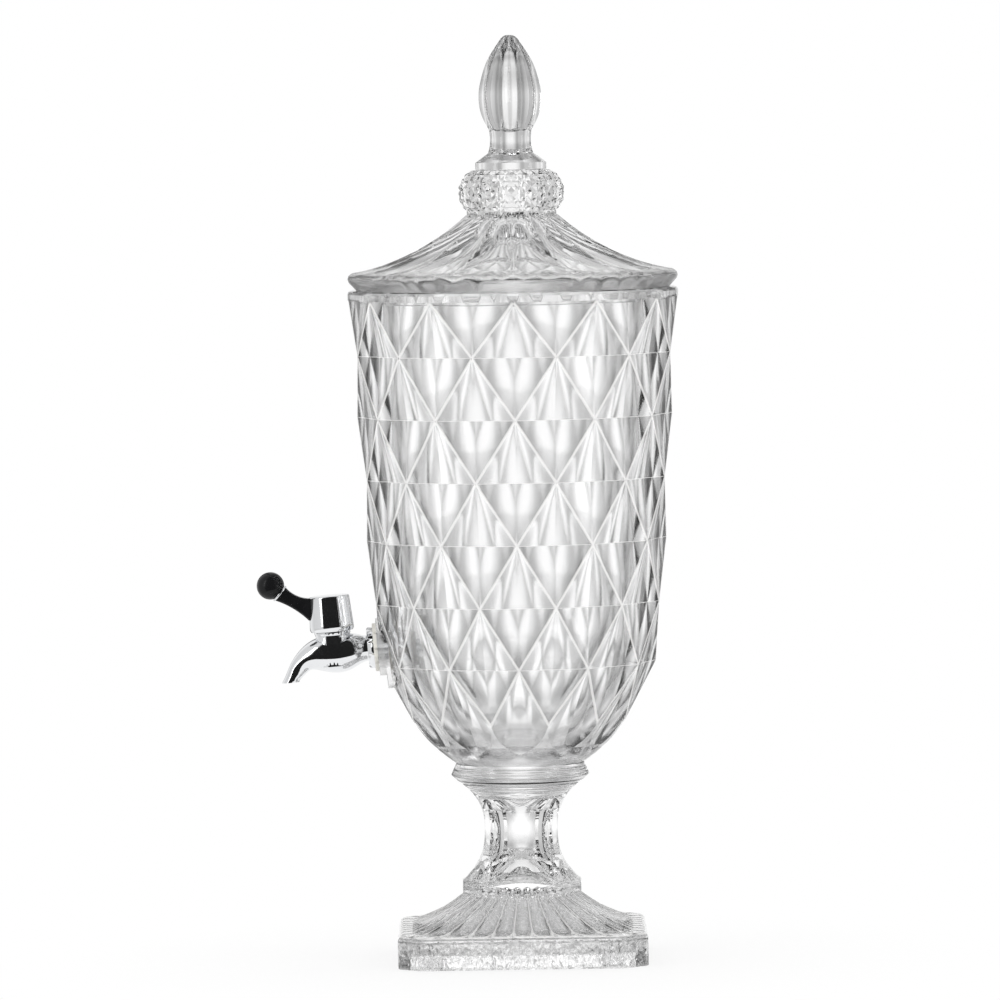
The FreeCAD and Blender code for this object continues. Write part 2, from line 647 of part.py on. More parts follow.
def lid_height(radius):
    """Height of the lid's hollow-curved cone above the bowl's rim."""
    neck = Vector(number("lid_neck_radius"), number("lid_neck_rise"), 0)
    skirt = Vector(number(SKIRT_RADIUS), number(SKIRT_RISE), 0)
    curve = number("lid_sweep_radius")
    chord = neck - skirt
    across = Vector(chord.y, -chord.x, 0).normalize()
    centre = (neck + skirt) * 0.5 + across * math.sqrt(curve ** 2 - (chord.Length / 2) ** 2)
    return centre.y - math.sqrt(curve ** 2 - (radius - centre.x) ** 2)


def make_lid_flutes():
    """Sixteen hollow flutes that fade out before the edge of the lid."""
    flutes = int(number("lid_flutes"))
    inset = number("lid_flute_inset")
    neck, skirt = number("lid_neck_radius"), number(SKIRT_RADIUS)
    wires = []
    stations = ((-0.03, 0, 0.25), (0.2, 0, 0.5), (0.5, 0, 0.8), (0.82, 0, 1.0), (1.04, 6, 0.7))
    for share, proud, depth in stations:
        radius = neck + (skirt - neck) * share
        wires.append(scalloped(lid_height(radius), flutes, lambda degrees: radius + proud, inset * depth))
    base = scalloped(-number("lid_lip_depth") - OVERRUN, flutes, lambda degrees: radius + proud, inset * 0.7)
    skirt_solid = Part.makeLoft([wires[-1], base], True, True)
    return formed("lid_flutes_form", Part.makeLoft(wires, True, False).fuse(skirt_solid))


def make_knob():
    columns, bands = int(number("bead_columns")), int(number("bead_rows"))
    low, high = -number("knob_low"), number("knob_high")
    curve, middle = number("knob_curve"), number(KNOB_MIDDLE)
    rings = []
    for ring in range(bands + 1):
        turn = math.radians(high + (low - high) * ring / bands)
        proud = number("bead_height") if 0 < ring < bands else 0
        rings.append((middle + curve * math.cos(turn), number("knob_rise") + curve * math.sin(turn), -proud))
    skin = DiamondSkin(columns, rings)
    faces = skin.bands()
    faces += [facet(*skin.edge(0)), facet(*skin.edge(skin.last))]
    return formed("lid_knob", closed_solid(faces))


def make_lid():
    blank = turned("lid_blank", [
        ("0", "-lid_lip_depth"), (LIP_RADIUS, "-lid_lip_depth"), (LIP_RADIUS, "0"),
        ("rim_radius - lid_seat_inset", "0"),
        (f"{LID_EDGE} - 0.25 * lid_edge_round", "lid_edge_rise"),
        (LID_EDGE, "lid_edge_rise + 0.65 * lid_edge_round"),
        (f"{LID_EDGE} - 0.15 * lid_edge_round", "lid_edge_rise + 1.3 * lid_edge_round"),
        (SKIRT_RADIUS, SKIRT_RISE),
        (f"{SKIRT_RADIUS} - lid_skirt_width", f"{SKIRT_RISE} + lid_skirt_width * tan(lid_skirt_slope)"),
        ("lid_neck_radius + lid_skirt_width", "lid_neck_rise"), ("0", "lid_neck_rise")])
    cone = shared("lid_cone", [blank, make_lid_flutes()])
    neck = turned("lid_neck", [
        ("0", "lid_neck_rise - 4"), ("lid_neck_radius - 3", "lid_neck_rise - 4"),
        ("lid_neck_radius - 0.6", "lid_neck_rise - 1.5"), ("lid_neck_radius - 0.6", f"{KNOB_FOOT} + 1"),
        ("0", f"{KNOB_FOOT} + 1")])
    hollow = turned("lid_hollow", [
        ("0", "-lid_lip_depth - 2"), (f"{LIP_RADIUS} - lid_lip_width", "-lid_lip_depth - 2"),
        (f"{LIP_RADIUS} - lid_lip_width", f"{SKIRT_RISE} - lid_wall"),
        ("lid_neck_radius - lid_wall", "lid_neck_rise - lid_wall - lid_dome",
         "((lid_neck_radius - lid_wall) ^ 2 + lid_dome ^ 2) / (2 * lid_dome)", 1),
        ("0", "lid_neck_rise - lid_wall")])
    solid = fused("lid_solid", [cone, neck, make_knob()])
    kept(cut("lid_glass", solid, hollow), "lid", shift(z=f"{BOWL_BASE} + bowl_height"))


def make_finial():
    foot = turned("finial_foot", [
        ("0", "0"), ("disc_radius", "0"), ("disc_radius", "disc_edge"),
        ("finial_stem_radius + 0.6", "finial_foot_rise", "bud_rise", -1), ("finial_stem_radius", "bud_rise"),
        ("finial_stem_radius", "bud_rise + 1"), ("0", "bud_rise + 1")])
    full, neck = number("bud_radius"), number("finial_stem_radius")
    low, height = number("bud_rise"), number("bud_height")
    lobes, inset = int(number("bud_lobes")), number("bud_inset")
    wires = []
    for share, radius in ((0, 1.03 * neck), (0.07, 0.81 * full), (0.18, 0.945 * full), (0.3, 1.01 * full),
                          (0.42, full), (0.55, 0.915 * full), (0.68, 0.79 * full), (0.81, 0.585 * full),
                          (0.92, 0.36 * full), (1, 0.09 * full)):
        depth = inset * radius / full + radius * (1 - math.cos(math.pi / lobes)) * 0.2
        wires.append(scalloped(low + height * share, lobes, lambda degrees: radius, depth, 90))
    bud = formed("finial_bud", Part.makeLoft(wires, True, False))
    kept(fused("finial", [foot, bud]), "lid_finial",
         shift(z=f"{BOWL_BASE} + bowl_height + {KNOB_TOP} + bond_film"))


def round_section(body, name, out, up, lean, radius):
    """A circle across the tap's path, so far out from the valve axis and up from the shank axis."""
    sketch = body.newObject("Sketcher::SketchObject", name)
    sketch.AttachmentSupport = [(origin_plane(body, "YZ_Plane"), "")]
    sketch.MapMode = "FlatFace"
    sketch.AttachmentOffset = Placement(Vector(0, number(up), number(f"valve_reach + {out}")),
                                        Rotation(Vector(1, 0, 0), lean))
    sketch.setExpression("AttachmentOffset.Base.y", named(up))
    sketch.setExpression("AttachmentOffset.Base.z", named(f"valve_reach + {out}"))
    sketch.addGeometry(Part.Circle(Vector(0, 0, 0), Vector(0, 0, 1), number(radius)))
    sketch.addConstraint(Sketcher.Constraint("Coincident", 0, 3, -1, 1))
    fixed = sketch.addConstraint(Sketcher.Constraint("Radius", 0, number(radius)))
    sketch.setExpression(f"Constraints[{fixed}]", named(radius))
    return sketch


def lofted(name, stations):
    body = doc.addObject("PartDesign::Body", name)
    sections = [round_section(body, f"{name}_{index}", *station) for index, station in enumerate(stations)]
    loft = body.newObject("PartDesign::AdditiveLoft", f"{name}_loft")
    loft.Profile = sections[0]
    loft.Sections = sections[1:]
    loft.Ruled = False
    return body


def make_tap_body():
    behind = f"(valve_reach - {FLANGE_FRONT})"
    casting = lofted("tap_casting", [
        (f"-{behind} - flange_thickness / 2", "0", 0, "neck_radius"),
        (f"-{behind} * 0.8", "0", 0, "neck_radius + 0.3"),
        (f"-{behind} * 0.5", "-barrel_drop / 2", 0, "chest_radius"),
        ("0", "-barrel_drop", 0, "barrel_radius"),
        ("mouth_reach * 0.4", "-mouth_drop * 0.07", 4, "throat_radius"),
        ("mouth_reach * 0.67", "-mouth_drop * 0.26", 27, "bend_radius"),
        ("mouth_reach * 0.84", "-mouth_drop * 0.56", 49, "lip_radius"),
        ("mouth_reach", "-mouth_drop", 90, "mouth_radius")])
    flange = turned("tap_flange", [
        ("0", "0"), ("flange_radius", "0"), ("flange_radius", "flange_thickness - flange_bevel"),
        ("flange_radius - flange_bevel", "flange_thickness"), ("0", "flange_thickness")])
    flange.Placement = on_shank("gasket_thickness")
    shank_back = f"({NUT_FACE} + nut_height + shank_proud)"
    shank = cylinder("tap_shank", "shank_radius", f"{shank_back} + {FLANGE_FRONT}",
                     on_shank(f"-{shank_back}"))
    tower = turned("valve_tower", [
        ("0", f"-{CHAMBER_FLOOR}"), ("tower_radius - tower_waist", f"-{CHAMBER_FLOOR}"),
        ("tower_radius - tower_waist", "tower_height * 0.8"), ("tower_radius", "tower_height * 0.92"),
        ("tower_radius", "tower_height"), ("0", "tower_height")])
    tower.Placement = on_valve()
    chamber = turned("valve_chamber", [
        ("0", f"-{CHAMBER_FLOOR}"), (CHAMBER_RADIUS, f"-{CHAMBER_FLOOR}"), (CHAMBER_RADIUS, RETAINER_FOOT),
        ("retainer_radius", RETAINER_FOOT), ("retainer_radius", "tower_height + 1"),
        ("0", "tower_height + 1")])
    chamber.Placement = on_valve()
    inlet = cylinder("tap_inlet", "inlet_radius", f"{shank_back} + valve_reach + 1",
                     on_shank(f"-{shank_back} - 1"))
    outlet = lofted("tap_outlet", [
        ("plug_radius * 0.6", "0", 0, "port_radius"),
        ("mouth_reach * 0.45", "-mouth_drop * 0.07", 4, "port_radius"),
        ("mouth_reach * 0.67", "-mouth_drop * 0.26", 27, "port_radius"),
        ("mouth_reach * 0.84", "-mouth_drop * 0.56", 49, "lip_radius - spout_wall"),
        ("mouth_reach", "-mouth_drop * 1.02", 90, "mouth_radius - spout_wall")])
    solid = fused("tap_solid", [casting, flange, shank, tower])
    bores = fused("tap_bores", [chamber, inlet, outlet])
    kept(cut("tap", solid, bores), "tap_body", tap_place())


def make_washer(label, thickness, start):
    ring = cut(f"{label}_ring", cylinder(f"{label}_disc", "gasket_radius", thickness),
               cylinder(f"{label}_bore", "shank_radius + shank_clearance", thickness))
    kept(ring, label, tap_place() * on_shank(start))


def make_lock_nut():
    half = "(nut_flats / 2)"
    corner = "(nut_flats / sqrt(3))"
    hexagon = [(corner, "0"), (f"{corner} / 2", half), (f"-{corner} / 2", half), (f"-{corner}", "0"),
               (f"-{corner} / 2", f"-{half}"), (f"{corner} / 2", f"-{half}")]
    body, pad = padded("nut_prism", hexagon, "nut_height", "XY_Plane", False)
    bevel = "(nut_flats * 0.03)"
    round_off = turned("nut_round", [
        ("0", "0"), (f"{corner} - 2 * {bevel}", "0"), (f"{corner} + {bevel}", f"2 * {bevel}"),
        (f"{corner} + {bevel}", "nut_height"), ("0", "nut_height")])
    bore = cylinder("nut_bore", "shank_radius + thread_clearance", "nut_height")
    nut = cut("nut", shared("nut_solid", [body, round_off]), bore)
    kept(nut, "tap_lock_nut", tap_place() * on_shank(f"-{NUT_FACE} - nut_height"))


def double_flat(name, extra, foot, top):
    """A round stem with two flats, wider all round by the given clearance."""
    height = f"({top}) - ({foot})"
    rod = cylinder(f"{name}_round", f"stem_radius + {extra}", height, shift(z=foot))
    slab = bind(doc.addObject("Part::Box", f"{name}_flats"), Length=f"2 * (stem_radius + {extra})",
                Width=f"2 * (stem_drive + {extra})", Height=height)
    slab.Placement = Placement(Vector(-number(f"stem_radius + {extra}"), -number(f"stem_drive + {extra}"),
                                      number(foot)), Rotation())
    return shared(name, [rod, slab])


def make_plug():
    groove_radius = "(plug_radius - 2 * seal_radius - seal_clearance)"
    half_groove = "(seal_radius + seal_clearance)"
    outline = [("0", "-plug_drop"), ("plug_radius", "-plug_drop")]
    for place in ("-seal_offset", "seal_offset"):
        low, high = f"{place} - {half_groove}", f"{place} + {half_groove}"
        outline += [("plug_radius", low), (groove_radius, low), (groove_radius, high), ("plug_radius", high)]
    outline += [("plug_radius", "plug_rise"), ("stem_radius", "plug_rise"), ("stem_radius", "tower_height"),
                ("0", "tower_height")]
    barrel = turned("plug_barrel", outline)
    port = cylinder("plug_port", "port_radius", "4 * plug_radius",
                    Placement(Vector(0, 2 * number("plug_radius"), 0), Rotation(Vector(1, 0, 0), 90)))
    tap_hole = cylinder("plug_screw_hole", "screw_radius", "screw_length",
                        shift(z="stem_top - screw_length + 2"))
    for side, place in (("upper", "seal_offset"), ("lower", "-seal_offset")):
        ring = bind(doc.addObject("Part::Torus", f"ring_{side}"), Radius1="plug_radius - seal_radius",
                    Radius2="seal_radius")
        kept(ring, f"plug_ring_{side}", tap_place() * on_valve(place))
    solid = fused("plug_solid", [barrel, double_flat("plug_drive", "0", "tower_height - 1", "stem_top")])
    kept(cut("plug", solid, fused("plug_cuts", [port, tap_hole])), "valve_plug", tap_place() * on_valve())


def make_retainer():
    ring = turned("retainer", [
        ("stem_radius + stem_clearance", RETAINER_FOOT), ("retainer_radius", RETAINER_FOOT),
        ("retainer_radius", "tower_height - 0.4"), ("stem_radius + stem_clearance", "tower_height - 0.4")])
    kept(ring, "plug_retainer", tap_place() * on_valve())


def hub_outline(extra="0"):
    """The hub's outside, wider by the given clearance."""
    lip = f"(hub_foot_radius + {extra} - hub_lip * 0.6)"
    return [("0", "hub_bottom"), (lip, "hub_bottom"), (f"hub_foot_radius + {extra}", "hub_bottom + hub_lip"),
            (f"hub_head_radius + {extra}", "hub_top - hub_round", "hub_round", 1),
            (f"hub_head_radius + {extra} - hub_round", "hub_top"), ("0", "hub_top")]


def tongue(name, extra):
    """The lever's tongue, or its slot in the hub with a clearance all round."""
    reach = f"(tongue_depth + {extra})"
    slab = bind(doc.addObject("Part::Box", name), Length=f"hub_foot_radius - hub_head_radius + {reach} + 1",
                Width=f"tongue_thickness + 2 * {extra}", Height=f"tongue_height + 2 * {extra}")
    low = "((lever_root_low + hub_top - lever_root_drop - tongue_height) / 2)"
    corner = Vector(number(f"hub_head_radius - {reach}"), -number(f"tongue_thickness / 2 + {extra}"),
                    number(f"{low} - {extra}"))
    slab.Placement = Placement(corner, Rotation())
    return slab


def make_hub():
    outside = turned("hub_outside", hub_outline())
    hollow = turned("hub_hollow", [
        ("stem_radius + 2", "hub_bottom - 1"), ("hub_foot_radius - hub_skirt - hub_lip", "hub_bottom - 1"),
        ("hub_foot_radius - hub_skirt - hub_lip", "hub_roof"), ("stem_radius + 2", "hub_roof")])
    socket = double_flat("hub_socket", "stem_clearance", "hub_bottom - 1", "stem_top + stem_clearance")
    screw_way = turned("hub_screw_way", [
        ("0", "stem_top - 1"), ("screw_radius + screw_clearance", "stem_top - 1"),
        ("screw_radius + screw_clearance", f"{CAP_SEAT} - screw_head_height - 1"),
        ("screw_head + screw_clearance", f"{CAP_SEAT} - screw_head_height - 1"),
        ("screw_head + screw_clearance", CAP_SEAT), ("cap_radius + cap_clearance", CAP_SEAT),
        ("cap_radius + cap_clearance", "hub_top + 1"), ("0", "hub_top + 1")])
    cuts = fused("hub_cuts", [hollow, socket, screw_way, tongue("hub_slot", "tongue_clearance")])
    kept(cut("hub", outside, cuts), "handle_hub", tap_place() * on_valve())


def make_screw_and_cap():
    under_head = f"({CAP_SEAT} - screw_head_height - 1)"
    screw = turned("hub_screw", [
        ("0", f"{under_head} - screw_length"),
        ("screw_radius - screw_clearance", f"{under_head} - screw_length"),
        ("screw_radius - screw_clearance", under_head), ("screw_head", under_head),
        ("screw_head", f"{under_head} + screw_head_height * 0.5", "screw_head * 1.6", 1),
        ("screw_head * 0.4", f"{under_head} + screw_head_height"),
        ("0", f"{under_head} + screw_head_height")])
    kept(screw, "handle_screw", tap_place() * on_valve())
    cap = turned("hub_disc", [
        ("0", CAP_SEAT), ("cap_radius", CAP_SEAT),
        ("cap_radius", "hub_top", f"(cap_radius ^ 2 + cap_crown ^ 2) / (2 * cap_crown)", 1),
        ("0", "hub_top + cap_crown")])
    kept(cap, "hub_cap", tap_place() * on_valve())


def at_ball(distance="0"):
    """A place on the lever's end axis, with Z along it and away from the hub."""
    angle = math.radians(number("lever_angle"))
    reach = number(distance)
    middle = Vector(number("lever_reach") + reach * math.cos(angle), 0,
                    number("lever_rise") + reach * math.sin(angle))
    return Placement(middle, Rotation(Vector(0, 1, 0), 90 - number("lever_angle")))


def make_lever():
    across_x, across_z = "lever_end_half * sin(lever_angle)", "lever_end_half * cos(lever_angle)"
    body, pad = padded("lever_blade", [
        ("hub_head_radius - tongue_depth", "lever_root_low"),
        ("hub_foot_radius", "lever_root_low", "lever_under_curve", -1),
        (f"{LEVER_END_X} + {across_x}", f"{LEVER_END_Z} - {across_z}"),
        (f"{LEVER_END_X} - {across_x}", f"{LEVER_END_Z} + {across_z}", "lever_top_curve", -1),
        ("hub_head_radius", "hub_top - lever_root_drop"),
        ("hub_head_radius - tongue_depth", "hub_top - lever_root_drop")], "lever_thickness", "XZ_Plane", True)
    doc.recompute()
    curved = [f"Edge{index}" for index, edge in enumerate(pad.Shape.Edges, start=1)
              if isinstance(edge.Curve, Part.Circle)]
    rounding = body.newObject("PartDesign::Fillet", "lever_edges")
    rounding.Base = (pad, curved)
    bind(rounding, Radius="lever_round")
    hub_face = turned("lever_hub_face", hub_outline("tongue_clearance"))
    around_tongue = cut("lever_root_cut", hub_face, tongue("lever_tongue", "0"))
    blade = cut("lever_cut", body, around_tongue)
    spigot = cylinder("lever_spigot", "spigot_radius", "spigot_length + 1",
                      at_ball("-ball_seat - ferrule_thickness - 1"))
    kept(fused("lever", [blade, spigot]), "handle_lever", tap_place() * on_valve())


def make_ball():
    seat = "sqrt(ball_radius ^ 2 - ball_seat ^ 2)"
    bore = "spigot_radius + stem_clearance"
    ball = turned("ball", [
        (bore, "-ball_seat"), (seat, "-ball_seat", "ball_radius", 1), ("ball_radius", "0", "ball_radius", 1),
        ("0", "ball_radius"), ("0", "spigot_length - ferrule_thickness - ball_seat + stem_clearance"),
        (bore, "spigot_length - ferrule_thickness - ball_seat + stem_clearance")])
    kept(ball, "lever_ball", tap_place() * on_valve() * at_ball())
    ring = turned("ferrule", [
        (bore, "0"), ("ferrule_radius", "0", "ferrule_thickness * 0.7", 1),
        ("ferrule_radius", "ferrule_thickness"), (bore, "ferrule_thickness")])
    kept(ring, "lever_ferrule", tap_place() * on_valve() * at_ball("-ball_seat - ferrule_thickness"))


def check_and_write():
    doc.recompute()
    broken = [target.Name for target in doc.Objects if {"Invalid", "Error"} & set(target.State)]
    if broken:
        raise RuntimeError(f"not built: {broken}")
    for target in pieces:
        shape = target.Shape
        if shape.isNull() or not shape.isValid() or not shape.Solids:
            raise RuntimeError(f"bad shape: {target.Label}")
    os.makedirs("parts", exist_ok=True)
    for target in pieces:
        target.Shape.exportStep(os.path.join("parts", f"{target.Label}.step"))
        print(target.Label, len(target.Shape.Solids), round(target.Shape.Volume, 1))


make_pedestal()
make_bonds()
make_bowl()
make_lid()
make_finial()
make_tap_body()
make_washer("tap_outer_gasket", "gasket_thickness", "0")
make_washer("tap_inner_gasket", "gasket_thickness", "-pad_glass - gasket_thickness")
make_washer("tap_washer", "washer_thickness", f"-{NUT_FACE}")
make_lock_nut()
make_plug()
make_retainer()
make_hub()
make_screw_and_cap()
make_lever()
make_ball()
check_and_write()
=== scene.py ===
import json
import math
from contextlib import contextmanager

import bpy
from bpy.props import FloatProperty, FloatVectorProperty, PointerProperty
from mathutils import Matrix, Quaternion, Vector

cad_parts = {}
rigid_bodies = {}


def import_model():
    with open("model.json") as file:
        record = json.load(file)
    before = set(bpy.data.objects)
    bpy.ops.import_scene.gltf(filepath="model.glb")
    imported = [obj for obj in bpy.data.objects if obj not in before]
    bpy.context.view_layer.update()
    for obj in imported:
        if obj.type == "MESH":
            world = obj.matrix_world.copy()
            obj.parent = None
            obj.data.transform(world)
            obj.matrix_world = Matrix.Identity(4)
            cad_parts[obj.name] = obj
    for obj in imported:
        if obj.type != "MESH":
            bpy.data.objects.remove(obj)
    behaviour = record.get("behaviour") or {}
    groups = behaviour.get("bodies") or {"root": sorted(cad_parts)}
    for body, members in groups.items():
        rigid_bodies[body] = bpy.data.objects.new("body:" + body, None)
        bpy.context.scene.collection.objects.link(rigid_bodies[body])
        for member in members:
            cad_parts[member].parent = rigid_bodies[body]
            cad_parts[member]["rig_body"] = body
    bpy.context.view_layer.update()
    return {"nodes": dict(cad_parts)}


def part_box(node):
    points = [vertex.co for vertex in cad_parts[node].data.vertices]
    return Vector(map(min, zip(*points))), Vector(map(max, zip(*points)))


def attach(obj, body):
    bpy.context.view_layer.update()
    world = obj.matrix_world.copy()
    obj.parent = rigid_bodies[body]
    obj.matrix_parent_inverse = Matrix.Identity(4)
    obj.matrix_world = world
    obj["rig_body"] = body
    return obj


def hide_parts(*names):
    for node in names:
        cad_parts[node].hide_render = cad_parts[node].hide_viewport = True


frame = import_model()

bl_info = {
    "name": "Glass drinks dispenser",
    "version": (1, 0, 0),
    "blender": (4, 5, 0),
    "location": "3D View > Sidebar > Dispenser",
    "description": "Dresses a pressed-glass drinks dispenser with lid and tap",
    "category": "Object",
}

MILLIMETRE = 0.001
RIM_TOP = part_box("glass_bowl")[1].z
NODES = frame["nodes"]

# Meshes: how near two points are one, how flat two faces are one, how near to a height is level, and the
# numbers of two corners of a piece's box
SAME_POINT = 0.002 * MILLIMETRE
SAME_FACE = math.radians(0.15)
SAME_LEVEL = 0.02 * MILLIMETRE
ON_AXIS = 1e-9
LOWEST_CORNER = 0
HIGHEST_CORNER = 6

# Turns, in degrees, over which the shading is rounded
BOWL_ROUNDED = 15
PEDESTAL_ROUNDED = 30
BUD_ROUNDED = 30

# Bowl: what makes a facet, a ridge and a crease, what lies inside, and the gap left under the lid
FACET_AREA = 18 * MILLIMETRE ** 2
FACET_LEAN = 0.1
RIDGE_TURN = 8
CREASE_TURN = 3
INSIDE_LEAN = -0.15
INSIDE_FLOOR_RISE = 0.5
INSIDE_FLOOR_RADIUS = 60 * MILLIMETRE
RIM_BAND = 2 * MILLIMETRE
RIM_REACH = 0.01 * MILLIMETRE
RIM_GAP = 0.05 * MILLIMETRE

# Notes on the bowl's facets: where they are kept, and which facets have an upper tip
REACH_MAP = "reach_from_ridges"
TIP_RISE = 8 * MILLIMETRE
NO_TIP = -1.0
HAS_TIP = -0.5

# Lid: what lies underneath, the width of its edge, and the bonded spot on its top
UNDER_RISE = -0.2
UNDER_LEAN = 0.05
UNDER_RADIUS = 80 * MILLIMETRE
LID_EDGE = 7 * MILLIMETRE
TOP_INSET = 2 * MILLIMETRE
BOND_MARGIN = 1.2 * MILLIMETRE

# Size of the films and the soft washers beside their solids, to stay clear of their neighbours
FILM_SHARE = 0.9
WASHER_SHARE = 0.99

# Noise: the part of its range that is used, and how many fine waves there are to a broad one
NOISE_SPAN = (0.3, 0.7)
FINE_WAVES = 9

# Glass: how close its ripples and smears are, how much a smear dims it, and how uneven a clear face is
RIPPLE_WAVE = 55
SMEAR_WAVE = 22
SMEAR_DIM = 0.992
FILM_WAVE = 60
FILM_DIM = 0.97
# White of milky glass, also used for the lines painted as highlights along ridges and flute edges
MILK_AND_HIGHLIGHT_COLOUR = (0.97, 0.965, 0.955)
MILK_AND_HIGHLIGHT_DIM = 0.98
CLEAR_ROUGH = 0.006
ROUGH_SPREAD = (0.9, 1.1)

# Diamonds: how far from a ridge or a row its painted highlight line and its painted shade end, and the fan
# and the streaks
RIDGE_LINE = (0.028, 0.05)
ROW_LINE = (0.007, 0.016)
DIAMOND_SHADE = (0.06, 0.45)
FAN_STREAKS = 1.0
FAN_LEAST = 0.02
STREAK_WAVE = 120
STREAK_STRETCH = (1, 1, 0.12)

# Ground face round the tap hole
PAD_MILK = 0.2
PAD_EDGE = (17.0 * MILLIMETRE, 18.5 * MILLIMETRE)
PAD_SQUEEZE = (0.32, 1, 1)

# Pedestal: stem, petal flutes of the sweep with painted highlight lines and shade, collar, and the foot's
# wall with its specks of painted shade
STEM_PANEL = 15 * MILLIMETRE
STEM_HEIGHTS = (52 * MILLIMETRE, 94 * MILLIMETRE)
STEM_FADE = 6 * MILLIMETRE
FLUTES = 36
SWEEP_HEIGHTS = (16 * MILLIMETRE, 40 * MILLIMETRE)
SWEEP_FADE = 2.5 * MILLIMETRE
PETAL_END = 21.5 * MILLIMETRE
PETAL_ARC = 3 * MILLIMETRE
PETAL_LINE = (0.09, 0.22)
PETAL_SHADE = (0.3, 0.75)
COLLAR_PITCH = 3.2 * MILLIMETRE
COLLAR_HEIGHTS = (96 * MILLIMETRE, 113 * MILLIMETRE)
COLLAR_FADE = 3 * MILLIMETRE
PLATE_HEIGHTS = (-1 * MILLIMETRE, 17 * MILLIMETRE)
PLATE_FADE = 2 * MILLIMETRE
PLATE_WAVE = 320
PLATE_STRETCH = (1, 1, 0.6)
# Specks of painted shade on the upper band of the foot's wall
SHADE_SPECK_HEIGHTS = (8 * MILLIMETRE, 17 * MILLIMETRE)
SHADE_SPECK_FADE = 1 * MILLIMETRE
SHADE_SPECK_WAVE = 260
SHADE_SPECK_STRETCH = (1, 1, 1.6)

# Bud: its lobes, the painted shade in their grooves, and the least dimming all over
LOBES = 10
GROOVE_SHADE = (0.1, 0.6)
BUD_DIM = 0.14

# Surroundings: grey levels by direction, round the object and from below to above
GLASS_SIDES = 8
GLASS_SIGHT = (
    (0.0, 0.54), (0.1, 0.54), (0.18, 0.57), (0.26, 0.68), (0.33, 0.85), (0.38, 0.97), (0.42, 1.0), (0.5, 1.0),
    (0.58, 1.0), (0.62, 0.97), (0.67, 0.85), (0.74, 0.68), (0.82, 0.57), (0.9, 0.54), (1.0, 0.54))
GLASS_HEIGHT = (
    (0.0, 0.6), (0.06, 0.8), (0.12, 0.5), (0.18, 0.85), (0.24, 0.55), (0.3, 0.85), (0.36, 0.68), (0.41, 0.8),
    (0.45, 0.96), (0.475, 1.0), (0.5, 0.99), (0.54, 0.96), (0.6, 0.9), (0.7, 0.82), (0.85, 0.84), (1.0, 0.9))
GLASS_GAIN = 1.16
METAL_SIDES = 1
METAL_SIGHT = (
    (0.0, 0.015), (0.12, 0.015), (0.138, 0.8), (0.3, 0.72), (0.36, 0.9), (0.42, 0.95), (0.45, 0.25),
    (0.47, 0.25), (0.485, 0.95), (0.54, 0.95), (0.56, 0.3), (0.575, 0.3), (0.6, 0.9), (0.66, 0.62),
    (0.755, 0.6), (0.768, 0.05), (0.783, 0.05), (0.797, 1.0), (0.862, 1.0), (0.88, 0.015), (1.0, 0.015))
METAL_HEIGHT = ((0.0, 0.8), (0.4, 1.0), (1.0, 1.0))

# Floor: its shape, its paper, and how far out it turns white and isn't mirrored any more
FLOOR_CORNERS = 96
FLOOR_RADIUS = 0.9
FLOOR_INSET = 0.4
FLOOR_DROP = 0.3 * MILLIMETRE
FLOOR_GREY = 0.9
FLOOR_ROUGH = 0.9
FLOOR_FADE = (0.06, 0.3)
FLOOR_GLOW = (0.8, 1.0)
MIRRORED_FLOOR = 0.35

# Strip lamps and camera, in metres, with the sensor in millimetres
STRIP_PLACES = {"left_strip": (-1.5, -1.1, 0.9), "right_strip": (1.6, -0.7, 0.8)}
STRIP_WIDTH = 0.35
STRIP_LENGTH = 1.5
STRIP_AIM = (0, 0, 0.28)
CAMERA_AIM = (-0.0093, 0, 0.266)
CAMERA_REACH = 50
SENSOR_WIDTH = 36


